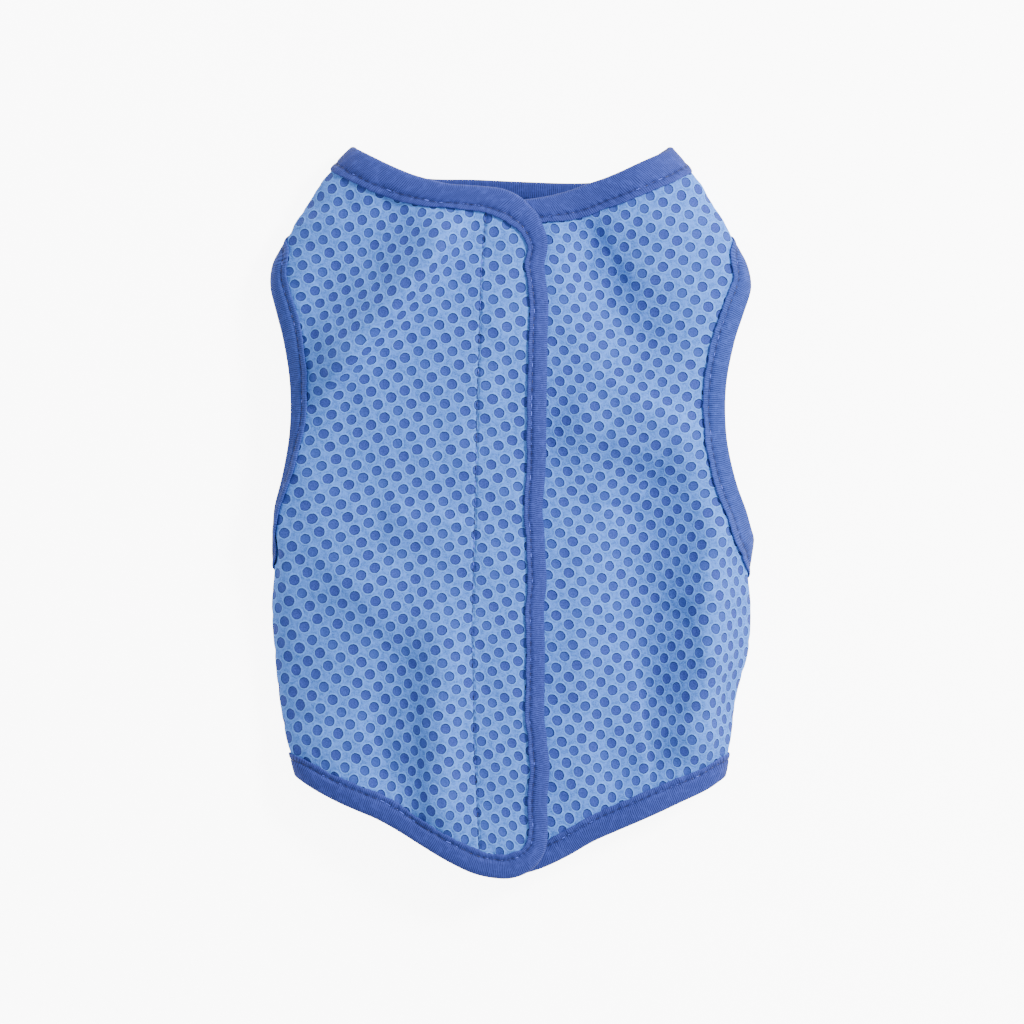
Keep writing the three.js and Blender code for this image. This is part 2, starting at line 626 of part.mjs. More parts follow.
// Tape folded over a closed loop of cut edge, with the cloth on the loop's left. "bends" is
// the number of flats that each lap is made of, from the fold to the lip.
function foldedTape(places, bends) {
  const count = places.length;
  const points = [];
  places.forEach((place, k) => {
    const ahead = places[(k + 1) % count].point;
    const behind = places[(k + count - 1) % count].point;
    const tangent = ahead.clone().sub(behind).normalize();
    const inward = place.normal.clone().cross(tangent).normalize();
    const step = lapStep(place, tangent, inward).multiplyScalar(TAPE_LAP / bends);
    const lap = [place];
    for (let i = 1; i <= bends; i++) {
      lap.push(surfaceAt(place.surface, place.u + i * step.x, place.v + i * step.y));
    }
    const at = (from, out, up) =>
      from.point.clone().addScaledVector(inward, -out).addScaledVector(from.normal, up);
    const lapInward = [...lap].reverse().slice(0, -1);
    points.push(
      ...lap.map((p) => at(p, p === place ? EDGE_EASE : 0, SLOT)),
      ...lapInward.map((p) => at(p, 0, TAPE_OUT)),
      at(place, 0, TAPE_OUT),
      at(place, TAPE_EDGE, TAPE_OUT * 0.45),
      at(place, TAPE_EDGE, -TAPE_OUT * 0.45),
      at(place, 0, -TAPE_OUT),
      ...lap.slice(1).map((p) => at(p, 0, -TAPE_OUT)),
      ...lapInward.map((p) => at(p, 0, -SLOT)),
      at(place, EDGE_EASE, -SLOT),
    );
  });
  const ring = points.length / count;
  const triangles = [];
  for (let k = 0; k < count; k++) {
    for (let i = 0; i < ring; i++) {
      const a = k * ring + i;
      const b = k * ring + ((i + 1) % ring);
      const c = ((k + 1) % count) * ring + ((i + 1) % ring);
      const d = ((k + 1) % count) * ring + i;
      triangles.push([a, b, c], [a, c, d]);
    }
  }
  return closedBody(points, triangles);
}

// Leaves out places that lie too close to the one before them on a loop, or on a straight.
function spaced(places) {
  const kept = [places[0]];
  for (let i = 1; i < places.length; i++) {
    const here = places[i].point;
    const last = kept[kept.length - 1].point;
    const next = places[(i + 1) % places.length].point;
    const straight = new THREE.Line3(last, next).closestPointToPoint(here, true, new THREE.Vector3());
    if (here.distanceTo(last) < TAPE_STEP) continue;
    if (straight.distanceTo(here) < TAPE_SLACK && next.distanceTo(last) < LONGEST_TAPE_STEP) continue;
    kept.push(places[i]);
  }
  return kept;
}

const column = (grid, i) => grid.map((row) => row[i]);
const lastOf = (list) => list[list.length - 1];

const overlap = frontGrid("overlap");
const underlap = frontGrid("underlap");
const back = backGrid();

const SEAM_PLACES = 1; // back places nearest a seam, where the front's own place serves

// The vest's whole open edge: neck, front edges and hem in one run.
function edgeLoop() {
  const backNeck = lastOf(back.grid).slice(SEAM_PLACES, -SEAM_PLACES);
  const backHemRow = back.grid[0].slice(SEAM_PLACES, -SEAM_PLACES).reverse();
  return spaced(
    [
      ...lastOf(overlap.grid),
      ...backNeck,
      ...[...lastOf(underlap.grid)].reverse(),
      ...column(underlap.grid, 0).reverse(),
      ...underlap.grid[0],
      ...backHemRow,
      ...[...overlap.grid[0]].reverse(),
      ...column(overlap.grid, 0),
    ],
  );
}

function armholeLoop(front, side) {
  const frontPlaces = column(front.grid, FRONT_COLUMNS.length - 1).slice(front.armStart, front.armEnd + 1);
  const edge = back[side];
  const backPlaces = column(back.grid, side === "left" ? 0 : BACK_COLUMNS.length - 1).slice(edge.armStart + SEAM_PLACES, edge.armEnd);
  const places =
    side === "left"
      ? [...frontPlaces.reverse(), ...backPlaces]
      : [...frontPlaces, ...backPlaces.reverse()];
  return spaced(places);
}

// Hook and loop tapes pressed together between the two front panels, as one stepped strip.
function fastenerBody() {
  const underStep = LAYER_STEP - CLOTH / 2 - CLEARANCE;
  const overStep = CLOTH / 2 + CLEARANCE;
  const hookRight = OVERLAP_REACH - TAPE_LAP - STRIP_EASE;
  const hookLeft = hookRight - HOOK_WIDTH;
  const loopLeft = -UNDERLAP_REACH + TAPE_LAP + STRIP_EASE;
  const loopRight = loopLeft + LOOP_WIDTH;
  const middle = (overStep + underStep) / 2;
  const outline = [
    { x: hookLeft, drop: overStep },
    { x: hookLeft, drop: middle - CLEARANCE / 2 },
    { x: loopLeft, drop: middle + CLEARANCE / 2 },
    { x: loopLeft, drop: underStep },
    { x: loopRight, drop: underStep },
    { x: loopRight, drop: middle + CLEARANCE / 2 },
    { x: hookRight, drop: middle - CLEARANCE / 2 },
    { x: hookRight, drop: overStep },
  ];
  const taped = TAPE_LAP + STRIP_ENDS;
  const across = [hookLeft, hookRight, loopLeft, loopRight];
  const top = Math.min(...across.flatMap((x) => [neckEdge("overlap", x), neckEdge("underlap", x)])) - taped;
  const low = Math.max(...across.flatMap((x) => [hemEdge("overlap", x), hemEdge("underlap", x)])) + taped;
  const steps = 12;
  const points = [];
  for (let k = 0; k <= steps; k++) {
    const y = mix(low, top, k / steps);
    for (const p of outline) points.push(new THREE.Vector3(p.x, y, domeHeight("overlap", p.x, y) - p.drop));
  }
  const ring = outline.length;
  const triangles = [];
  for (let k = 0; k < steps; k++) {
    for (let i = 0; i < ring; i++) {
      const a = k * ring + i;
      const b = k * ring + ((i + 1) % ring);
      triangles.push([a, b, b + ring], [a, b + ring, a + ring]);
    }
  }
  const section = outline.map((p) => new THREE.Vector2(p.x, -p.drop));
  for (const [a, b, c] of THREE.ShapeUtils.triangulateShape(section, [])) {
    triangles.push([c, b, a]);
    triangles.push([a, b, c].map((i) => i + steps * ring));
  }
  return closedBody(points, triangles);
}

const cloth = (colour) => new THREE.MeshStandardMaterial({ color: colour, roughness: 0.85, metalness: 0 });
const PALE_BLUE = 0x8babd9;
const TAPE_BLUE = 0x4866ae;

function piece(name, geometry, colour) {
  const mesh = new THREE.Mesh(geometry, cloth(colour));
  mesh.name = name;
  return mesh;
}

const vest = new THREE.Group();
vest.add(
  piece("overlap_front_panel", clothSheet(overlap.grid, CLOTH), PALE_BLUE),
  piece("underlap_front_panel", clothSheet(underlap.grid, CLOTH), PALE_BLUE),
  piece("back_panel", clothSheet(back.grid, CLOTH), PALE_BLUE),
  piece("edge_binding", foldedTape(edgeLoop(), 2), TAPE_BLUE),
  piece("left_armhole_binding", foldedTape(armholeLoop(overlap, "left"), 3), TAPE_BLUE),
  piece("right_armhole_binding", foldedTape(armholeLoop(underlap, "right"), 3), TAPE_BLUE),
  piece("hook_and_loop_strip", fastenerBody(), TAPE_BLUE),
);

// The origin is at the middle of the vest's footprint, on the surface it lies on.
const extent = new THREE.Box3().setFromObject(vest);
const middle = extent.getCenter(new THREE.Vector3());
vest.position.set(-middle.x, -middle.y, -extent.min.z);

export default vest;
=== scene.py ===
"""A small pet's cooling vest, closed down its front and lying on its back.

X runs across the body, Y from hem to neck and Z up from the floor, in metres.
Left and right are as seen from above. The cloth, tapes and stitches are made here
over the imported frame, whose plain solids they stand for.
"""

import math

import bmesh
import bpy
import numpy as np
from bpy.props import FloatProperty, FloatVectorProperty, IntProperty, PointerProperty
from mathutils import Matrix, Vector


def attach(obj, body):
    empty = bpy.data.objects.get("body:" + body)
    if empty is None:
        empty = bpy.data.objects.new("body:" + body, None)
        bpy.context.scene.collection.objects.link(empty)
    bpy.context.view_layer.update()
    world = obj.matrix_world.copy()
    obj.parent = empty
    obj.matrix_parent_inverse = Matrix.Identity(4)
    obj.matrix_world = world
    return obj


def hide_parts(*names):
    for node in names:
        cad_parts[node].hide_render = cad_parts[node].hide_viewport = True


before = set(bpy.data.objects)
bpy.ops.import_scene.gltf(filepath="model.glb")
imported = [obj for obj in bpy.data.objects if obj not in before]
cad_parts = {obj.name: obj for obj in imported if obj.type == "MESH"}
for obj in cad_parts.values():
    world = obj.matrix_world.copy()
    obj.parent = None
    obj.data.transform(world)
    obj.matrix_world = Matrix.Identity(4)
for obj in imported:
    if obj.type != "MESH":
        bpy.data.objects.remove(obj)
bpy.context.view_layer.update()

bl_info = {
    "name": "Cooling Vest",
    "version": (1, 0, 0),
    "blender": (4, 5, 0),
    "location": "3D View > Sidebar > Cooling Vest",
    "description": "Makes the cloth, tapes and stitching of a small pet's cooling vest",
    "category": "Object",
}


def length(name, description, default):
    return FloatProperty(
        name=name, description=description, default=default, min=0, unit="LENGTH", precision=5
    )


def amount(name, description, default, unit="NONE"):
    return FloatProperty(name=name, description=description, default=default, min=0, unit=unit)


def steps(name, description, default, low, high):
    return IntProperty(name=name, description=description, default=default, min=low, max=high)


def colour(name, description, *blue):
    return FloatVectorProperty(
        name=name, description=description, default=blue, min=0, max=1, subtype="COLOR"
    )


class VestShape(bpy.types.PropertyGroup):
    vest_width: length("Width", "Across the body at its widest", 0.186)
    vest_length: length("Length", "From hem tip to neck peak", 0.277)
    crown_height: length("Crown", "Floor to the middle of the front cloth at its highest", 0.026)
    fold_radius: length("Fold radius", "Round the side and shoulder folds", 0.004)
    seam_inset: length("Seam inset", "Seams on the underside, in from the folds", 0.008)
    front_neck_drop: length("Front neck drop", "Neck peaks down to the front neck", 0.017)
    back_neck_drop: length("Back neck drop", "Neck peaks down to the back neck", 0.014)
    hem_drop: length("Hem drop", "Side corners down to the hem's tip", 0.040)
    hem_side_rise: length("Hem side rise", "Hem tip up to its side corners", 0.0398)
    back_hem_rise: length("Back hem rise", "Side corners up to the back hem", 0.009)
    armhole_fall: length("Armhole fall", "Neck peak down to the top of the armholes", 0.0435)
    left_armhole_length: length("Left armhole length", "Top to bottom of the left one", 0.102)
    right_armhole_length: length("Right armhole length", "Top to bottom of the right one", 0.105)
    left_armhole_depth: length("Left armhole depth", "In from the left side fold", 0.0084)
    right_armhole_depth: length("Right armhole depth", "In from the right side fold", 0.0122)
    underarm_drop: length("Underarm drop", "From the fold down to the side seam", 0.0084)
    shoulder_rise: length("Shoulder rise", "From the fold up to the shoulder seam", 0.0046)
    back_armhole_cut: length("Back armhole cut", "How much further in the back panel is cut", 0.007)
    overlap_reach: length("Overlap reach", "The overlap's edge, past the centre line", 0.012)
    underlap_reach: length("Underlap reach", "The underlap's edge, past the centre line", 0.016)
    corner_radius: length("Corner radius", "Round the front panels' corners", 0.015)


class VestCloth(bpy.types.PropertyGroup):
    thickness: length("Thickness", "Of the dimpled cloth", 0.0015)
    dimple_width: length("Dimple width", "Across one dimple", 0.0037)
    dimple_pitch: length("Dimple pitch", "Between the middles of two dimples in a row", 0.0055)
    dimple_depth: length("Dimple depth", "How far the middle of a dimple is pressed in", 0.0003)
    columns: steps("Columns", "Steps across a front panel", 149, 20, 160)
    rows: steps("Rows", "Steps up a front panel", 319, 40, 330)
    pale: colour("Pale blue", "The cloth between the dimples", 0.068, 0.2, 0.72)
    dimple: colour("Dimple blue", "The floor of the dimples", 0.034, 0.060, 0.305)


class VestTape(bpy.types.PropertyGroup):
    thickness: length("Thickness", "Of the folded tape", 0.001)
    lap: length("Lap", "How far the tape covers the cloth, in from its cut edge", 0.0077)
    ease: length("Ease", "Between the tape and the cloth inside it", 0.00095)
    edge_ease: length("Edge ease", "Between the tape's fold and the cloth's cut edge", 0.0005)
    rib_pitch: length("Rib pitch", "Between two ribs of the weave", 0.00072)
    edge_blue: colour("Edge blue", "The tape round neck, fronts and hem", 0.026, 0.040, 0.205)
    armhole_blue: colour("Armhole blue", "The tape round the armholes", 0.026, 0.047, 0.225)


class VestStitching(bpy.types.PropertyGroup):
    stitch: length("Stitch", "Length of one stitch with its gap", 0.003)
    gap: length("Gap", "Between two stitches", 0.0007)
    thread: length("Thread", "Across the thread", 0.00036)
    lip_inset: length("Lip inset", "Stitch row, in from the tape's lip", 0.002)
    colour: colour("Thread blue", "The sewing thread", 0.014, 0.022, 0.12)


class VestFastener(bpy.types.PropertyGroup):
    hook_width: length("Hook width", "Across the hook tape, under the overlap", 0.018)
    loop_width: length("Loop width", "Across the loop tape, on the underlap", 0.017)
    thickness: length("Thickness", "Of each of the two tapes", 0.0017)
    ease: length("Ease", "Between them and the tape on the fronts' edges", 0.002)
    colour: colour("Fastener blue", "The hook and the loop tape", 0.036, 0.06, 0.255)


class VestStage(bpy.types.PropertyGroup):
    view_width: length("View width", "What the camera sees, side to side, at the floor", 0.38912)
    camera_height: length("Camera height", "Camera above the floor", 3.0)
    key_power: amount("Key light", "Power of the soft main light", 56.0, "POWER")
    fill: amount("Fill", "Brightness of the surroundings", 1.0)
    glow: amount("Floor glow", "How bright the floor is to the camera", 8.0)
    bounce: amount("Floor bounce", "Light that the floor throws back at the vest", 0.9)
    floor: colour("Floor", "The pale floor", 0.93, 0.93, 0.93)


# The frame's origin is the middle of its box, which lies this far from the drawing's own middle.
DRAWING_MIDDLE = np.array([-0.0000873, -0.0003178, 0.0])

# The body's half widths, as shares of half the width, and the height of its front, as a
# share of the crown, at these shares of the length, up from the hem tip.
SECTION_AT = [
    -0.04, 0.1, 0.15, 0.19, 0.25, 0.31, 0.37, 0.425, 0.47, 0.51, 0.65, 0.8, 0.837, 0.855, 0.89,
    0.93, 0.952, 0.985, 1, 1.05,
]
BODY_SECTIONS = {
    "left": [
        0.83, 0.862, 0.876, 0.912, 0.943, 0.961, 0.972, 0.96, 0.96, 0.98, 0.974, 0.974, 0.96, 0.93,
        0.884, 0.807, 0.766, 0.672, 0.634, 0.52,
    ],
    "right": [
        0.82, 0.848, 0.86, 0.884, 0.908, 0.956, 0.966, 0.953, 0.974, 0.984, 0.98, 0.968, 0.942,
        0.912, 0.868, 0.793, 0.755, 0.663, 0.634, 0.53,
    ],
    "crown": [
        0.78, 0.82, 0.85, 0.88, 0.92, 0.96, 0.99, 1, 1, 1, 1, 0.98, 0.97, 0.96, 0.95, 0.92, 0.91,
        0.89, 0.88, 0.86,
    ],
}

# Neck and hem edges: a share of half the width across, and a share of that edge's own drop.
NECK_EDGES = {
    "overlap": [
        (-0.7, -0.12), (-0.655, 0), (-0.52, 0.38), (-0.416, 0.63), (-0.33, 0.77), (-0.25, 0.87),
        (-0.15, 0.9), (-0.05, 0.97), (0.05, 1.1), (0.15, 1.35),
    ],
    "underlap": [
        (-0.2, 1.32), (-0.05, 1.25), (0.08, 1.18), (0.2, 1.06), (0.3, 0.87), (0.41, 0.66),
        (0.54, 0.33), (0.665, 0.02), (0.71, -0.12),
    ],
    "back": [
        (-0.7, -0.2), (-0.6, 0.26), (-0.48, 0.64), (-0.36, 0.86), (-0.15, 0.92), (0.05, 1),
        (0.28, 1.06), (0.4, 0.98), (0.52, 0.66), (0.62, 0.24), (0.71, -0.2),
    ],
}
HEM_EDGES = {
    "overlap": [
        (-0.98, -0.12), (-0.89, 0.02), (-0.8, 0.16), (-0.675, 0.31), (-0.55, 0.43), (-0.455, 0.55),
        (-0.373, 0.67), (-0.28, 0.8), (-0.18, 0.925), (-0.08, 0.985), (0.02, 0.995), (0.16, 0.96),
    ],
    "underlap": [
        (-0.2, 0.98), (-0.08, 0.985), (0.02, 0.965), (0.12, 0.9), (0.22, 0.79), (0.32, 0.655),
        (0.43, 0.54), (0.56, 0.41), (0.68, 0.28), (0.79, 0.16), (0.88, 0.02), (0.98, -0.1),
    ],
}

# The armholes' cuts: in the front panels down from the top, and in the back panel up from the seam.
ARMHOLE_CUT = [
    (0, 0), (0.08, 0.06), (0.2, 0.44), (0.33, 0.8), (0.45, 0.96), (0.54, 1), (0.64, 0.94),
    (0.75, 0.76), (0.85, 0.48), (0.94, 0.17), (1, 0),
]
BACK_CUT = [(0, 0), (0.03, 0.45), (0.08, 0.8), (0.2, 1), (0.6, 1), (0.8, 0.9), (0.92, 0.5), (1, 0)]

# Folds in the front cloth, from one point to another, as shares of half the width and half
# the length: panel, x1, y1, x2, y2, rise as a share of the crown, and its reach on the left
# and the right of the line, as shares of half the width.
FOLDS = [
    ("overlap", -0.19, 0.8, -0.76, 0.34, 0.26, 0.065, 0.16),
    ("overlap", -0.42, 0.84, -0.84, 0.56, -0.1, 0.12, 0.1),
    ("overlap", -0.24, -0.3, -0.21, -0.9, 0.22, 0.16, 0.16),
    ("overlap", -0.49, -0.36, -0.5, -0.8, -0.13, 0.16, 0.13),
    ("overlap", -0.16, -0.05, -0.5, -0.02, 0.05, 0.1, 0.06),
    ("overlap", -0.86, 0.1, -0.5, -0.3, 0.05, 0.14, 0.14),
    ("underlap", 0.15, 0.26, 0.85, 0.15, 0.17, 0.16, 0.13),
    ("underlap", 0.22, 0.8, 0.54, 0.42, -0.25, 0.17, 0.13),
    ("underlap", 0.8, 0.26, 0.45, -0.06, -0.03, 0.1, 0.1),
    ("underlap", 0.2, -0.02, 0.5, 0.02, -0.04, 0.06, 0.08),
    ("underlap", 0.54, 0.1, 0.48, -0.8, -0.3, 0.19, 0.16),
    ("underlap", 0.95, 0.04, 0.87, -0.74, 0.5, 0.08, 0.2),
    ("underlap", 0.4, -0.3, 0.52, -0.82, 0.06, 0.1, 0.12),
]

# Sharper creases, in the same form as the folds.
CREASES = [
    ("overlap", -0.2, 0.79, -0.75, 0.35, 0.1, 0.032, 0.08),
    ("overlap", -0.333, -0.01, -0.047, -0.064, 0.0192, 0.0215, 0.0172),
    ("overlap", -0.349, -0.517, -0.317, -0.879, 0.045, 0.086, 0.03),
    ("overlap", -0.909, -0.578, -0.827, -0.674, 0.0346, 0.0183, 0.0161),
    ("overlap", -0.513, -0.783, -0.468, -0.748, 0.0154, 0.0108, 0.0097),
    ("overlap", -0.742, -0.133, -0.456, -0.353, 0.0269, 0.0753, 0.043),
    ("overlap", -0.047, 0.58, -0.08, 0.251, 0.0192, 0.0323, 0.0538),
    ("overlap", -0.66, -0.49, -0.476, -0.709, -0.0231, 0.0538, 0.043),
    ("underlap", 0.365, 0.79, 0.52, 0.615, 0.045, 0.086, 0.03),
    ("underlap", 0.362, 0.36, 0.819, 0.2, 0.05, 0.032, 0.086),
    ("underlap", 0.296, 0.023, 0.435, 0.015, -0.0192, 0.0172, 0.0172),
    ("underlap", 0.656, 0.174, 0.533, 0.064, -0.0423, 0.0323, 0.0323),
    ("underlap", 0.464, -0.375, 0.55, -0.759, 0.0538, 0.0215, 0.0968),
    ("underlap", 0.729, -0.237, 0.799, -0.413, 0.025, 0.0645, 0.03),
    ("underlap", 0.799, -0.38, 0.807, -0.715, 0.025, 0.0645, 0.03),
    ("underlap", 0.28, -0.207, 0.308, -0.756, 0.0269, 0.0538, 0.0538),
    ("underlap", 0.415, -0.388, 0.427, -0.682, 0.0192, 0.0323, 0.0376),
    ("underlap", 0.198, 0.196, 0.525, -0.133, 0.0231, 0.0645, 0.0538),
]

# How the left armhole's edge rolls under, up the vest: its shift out, as a share of half the
# width, and its drop, as a share of the crown.
ROLL_OUT = [
    (-0.298, 0.0), (-0.161, 0.035), (-0.062, 0.064), (-0.015, 0.064), (0.04, 0.056), (0.1, 0.046),
    (0.174, 0.037), (0.251, 0.026), (0.364, 0.013), (0.471, 0.008), (0.608, 0.004), (0.685, 0.002),
    (0.745, 0.0),
]
ROLL_DOWN = [
    (-0.298, 0.0), (-0.062, 0.0), (-0.015, 0.02), (0.04, 0.06), (0.1, 0.08), (0.174, 0.08),
    (0.251, 0.06), (0.364, 0.04), (0.471, 0.03), (0.608, 0.02), (0.685, 0.01), (0.745, 0.0),
]

# How far the overlap's free edge sinks towards the underlap, up the vest, in shares of their step.
SINK = [
    (-0.95, 0.0), (-0.8, 0.0), (-0.55, 0.2), (-0.4, 0.36), (-0.1, 0.3), (0.15, 0.2), (0.24, 0.05),
    (0.42, 0.1), (0.6, 0.36), (0.8, 0.2), (0.9, 0.1),
]

# Columns of dimples and rows of them, as cubics of a place on the flattened cloth.
DIMPLE_ROWS = {
    "overlap": (
        (3.794, 7.465, 16.709, -0.185, -1.298, 1.82, 0.48, 0.815, -1.193, 0.308),
        (-5.244, 16.804, -6.06, -0.401, -0.478, 3.602, -0.54, -2.068, -1.485, 2.166),
    ),
    "underlap": (
        (-4.996, -10.664, 11.927, -0.507, 0.458, 6.204, 0.554, 1.266, -0.952, -3.634),
        (-8.841, 15.237, 13.826, 0.074, 1.992, -8.089, 0.024, 0.508, -3.19, 5.127),
    ),
    "back": ((0, -9.1, 15.8, 0, 0, 0, 0, 0, 0, 0), (0, 15.8, 9.1, 0, 0, 0, 0, 0, 0, 0)),
}

# The row of stitches that holds the fastener under the overlap panel: up and across.
FASTENER_ROW = [
    (-0.901, -0.133), (-0.789, -0.143), (-0.641, -0.153), (-0.492, -0.158), (-0.328, -0.163),
    (-0.188, -0.157), (0.029, -0.149), (0.171, -0.145), (0.336, -0.139), (0.536, -0.129),
    (0.643, -0.125), (0.731, -0.116), (0.822, -0.104),
]

SIGN = {"overlap": -1, "underlap": 1}
SIDE = {"overlap": "left", "underlap": "right"}
SHOULDER_ENDS = 0.28  # the neck's place on the shoulder seam, as a share of the back neck's drop
HEM_ENDS = 0.15  # the hem's place on the side seam, as a share of the back hem's rise


def smooth_step(share):
    s = np.clip(share, 0, 1)
    return s * s * (3 - 2 * s)


def read_table(rows, value):
    """A smooth curve through rows of (place, amount), read at a place or an array of them."""
    x, y = np.array(rows, float).T
    slope = np.gradient(y, x, edge_order=1)
    slope[1:-1] = (y[2:] - y[:-2]) / (x[2:] - x[:-2])
    v = np.asarray(value, float)
    i = np.clip(np.searchsorted(x, v) - 1, 0, len(x) - 2)
    run = x[i + 1] - x[i]
    t = np.clip((v - x[i]) / run, 0, 1)
    bend = t * t * (3 - 2 * t)
    lean = t * (1 - t) ** 2 * slope[i] - t * t * (1 - t) * slope[i + 1]
    return y[i] + (y[i + 1] - y[i]) * bend + run * lean


def smooth_run(points, count):
    """Places spaced evenly along a smooth curve through these."""
    p = np.array(points, float)
    q = np.vstack([p[:1], p, p[-1:]])
    t = np.linspace(0, 1, 24, endpoint=False)[:, None]
    parts = []
    for a, b, c, d in zip(q, q[1:], q[2:], q[3:]):
        v0, v1 = (c - a) / 2, (d - b) / 2
        cube, square = 2 * b - 2 * c + v0 + v1, -3 * b + 3 * c - 2 * v0 - v1
        parts.append(cube * t**3 + square * t**2 + v0 * t + b)
    dense = np.vstack([*parts, p[-1:]])
    run = run_along(dense)
    at = np.linspace(0, run[-1], count)
    return np.stack([np.interp(at, run, dense[:, k]) for k in (0, 1)], axis=1)


def run_along(points):
    """The way along a line of points to each of them."""
    return np.concatenate([[0], np.cumsum(np.linalg.norm(np.diff(points, axis=0), axis=1))])


def bezier(before, corner, after, t):
    a, b, c = (np.array(p, float) for p in (before, corner, after))
    return (1 - t) ** 2 * a + 2 * t * (1 - t) * b + t * t * c


def unit(vectors):
    return vectors / np.maximum(np.linalg.norm(vectors, axis=-1, keepdims=True), 1e-12)


class VestForm:
    """The vest's measures, and the edges and surfaces that follow from them."""

    TAPED_ZONE = 0.0104  # cloth within this of a cut edge follows the tape
    LIFT_END = 0.0185  # the back panel lies on the floor from this far in
    CLEARANCE = 0.0003
    FRONT_NARROWING = 0.25  # the tape down the fronts is drawn narrower than the rest
    FRONT_FLATTER = 0.8  # and on the front panels it is pressed flatter than underneath
    FLOOR_GAP = 0.0002
    FASTENER = 0.0019  # room for each of the two fastener tapes
    STEP_REACH = 0.6  # the underlap comes back up over this share of the half width
    # Folds and creases start the first length in from an edge, and rise over the second
    EDGE_FADE = (0.003, 0.015)  # folds, from the neck or hem
    CREASE_FADE = (0.004, 0.012)  # creases, from the neck or hem
    SIDE_FADE = (0.001, 0.008)  # creases, from the armhole or side fold
    WAVE_COUNT = 16  # gentle waves added together over each front panel
    WAVE_SIZES = (0.009, 0.034)
    WAVE_RISE = 0.00011
    WAVE_SEEDS = {"overlap": 11, "underlap": 12}
    PUCKER_PITCH = 0.0068  # from one pucker beside the tape to the next
    PUCKER_DRIFT = 0.021  # their spacing comes and goes over this
    PUCKER_REACH = 0.0028
    PUCKER_RISE = 0.00022
    ROW_DEPTH = 0.00016  # how far the fastener's stitches draw the cloth in
    ROW_WAVE = 0.00008  # and how much more at every other stitch
    ROW_REACH = 0.0011
    ROLL_RISE = 0.0077  # the rolled edge reaches its full shift this far in
    ROLL_FADE = 0.022  # and loses it over this
    ROLL_DROP = 0.021  # its drop dies out this far in
    LEVELS = 300  # rows and columns of the table of lengths over the front
    SHARES = 120

    def __init__(self, shape, cloth, tape):
        for name in shape.__annotations__:
            setattr(self, name, float(getattr(shape, name)))
        self.cloth, self.lap, self.tape = cloth.thickness, tape.lap, tape.thickness
        self.half = self.vest_width / 2
        self.tape_edge = tape.edge_ease + tape.thickness
        self.tape_out = self.cloth / 2 + tape.ease + tape.thickness
        self.tape_lift = tape.ease + tape.thickness + self.FLOOR_GAP
        self.layer_step = self.cloth + 2 * self.FASTENER + 3 * self.CLEARANCE
        self.bottom = -self.vest_length / 2 + self.tape_edge
        self.peak = self.vest_length / 2 - self.tape_edge
        self.armhole_top = self.peak - self.armhole_fall
        self.hem_side = self.bottom + self.hem_side_rise
        self.wrap_length = (math.pi / 2 - 1) * self.fold_radius + self.seam_inset
        sides = ("left", "right")
        self.armhole_length = {side: getattr(self, side + "_armhole_length") for side in sides}
        self.depth = {side: getattr(self, side + "_armhole_depth") for side in sides}
        self.shoulder_seam = self.armhole_top + self.shoulder_rise
        self.neck_seam = self.peak - self.back_neck_drop * SHOULDER_ENDS
        self.hem_seam = self.hem_side + self.back_hem_rise * HEM_ENDS
        self.girths = {panel: self.measure_girths(panel) for panel in SIGN}

    # Outlines, seen from above

    def body_at(self, y, column):
        return read_table(list(zip(SECTION_AT, BODY_SECTIONS[column])), y / self.vest_length + 0.5)

    def half_width(self, side, y):
        return self.half * self.body_at(y, side)

    def width_beside(self, x, y):
        return np.where(x < 0, self.half_width("left", y), self.half_width("right", y))

    def neck_edge(self, panel, x):
        drop = self.back_neck_drop if panel == "back" else self.front_neck_drop
        return self.peak - drop * read_table(NECK_EDGES[panel], x / self.half)

    def hem_edge(self, panel, x):
        return self.hem_side - self.hem_drop * read_table(HEM_EDGES[panel], x / self.half)

    def armhole_bottom(self, side):
        return self.armhole_top - self.armhole_length[side]

    def underarm_seam(self, side):
        return self.armhole_bottom(side) - self.underarm_drop

    def armhole_depth(self, side, y):
        down = np.clip((self.armhole_top - y) / self.armhole_length[side], 0, 1)
        return self.depth[side] * read_table(ARMHOLE_CUT, down)

    def back_hem(self, x):
        left, right = (self.half_width(side, self.hem_seam) for side in ("left", "right"))
        seam = np.where(x < 0, left, right) - self.seam_inset
        share = np.clip(np.abs(x) / seam, 0, 1)
        low = self.hem_side + self.back_hem_rise
        return low + (self.hem_seam - low) * share**3

    def back_armhole(self, side, y):
        low = self.underarm_seam(side)
        up = np.clip((y - low) / (self.shoulder_seam - low), 0, 1)
        seam = self.half_width(side, y) - self.seam_inset - self.CLEARANCE
        return seam - self.back_armhole_cut * read_table(BACK_CUT, up)

    # Heights

    def lift(self, x, y):
        """How far the underside's cloth is held off the floor by the tape on its edges."""
        to_neck = np.minimum(self.neck_edge("back", x), self.neck_seam) - y
        to_hem = y - self.back_hem(x)
        nearest = np.minimum(to_neck, to_hem)
        for side, here in (("left", x < 0), ("right", x >= 0)):
            beyond = np.maximum(np.maximum(self.underarm_seam(side) - y, y - self.shoulder_seam), 0)
            to_armhole = np.hypot(beyond, np.maximum(self.back_armhole(side, y) - np.abs(x), 0))
            nearest = np.where(here, np.minimum(nearest, to_armhole), nearest)
        away = (nearest - self.TAPED_ZONE) / (self.LIFT_END - self.TAPED_ZONE)
        return self.tape_lift * (1 - smooth_step(away))

    def fold_centre(self, side, y):
        sign = -1 if side == "left" else 1
        return self.fold_radius + self.cloth / 2 + self.lift(sign * self.half_width(side, y), y)

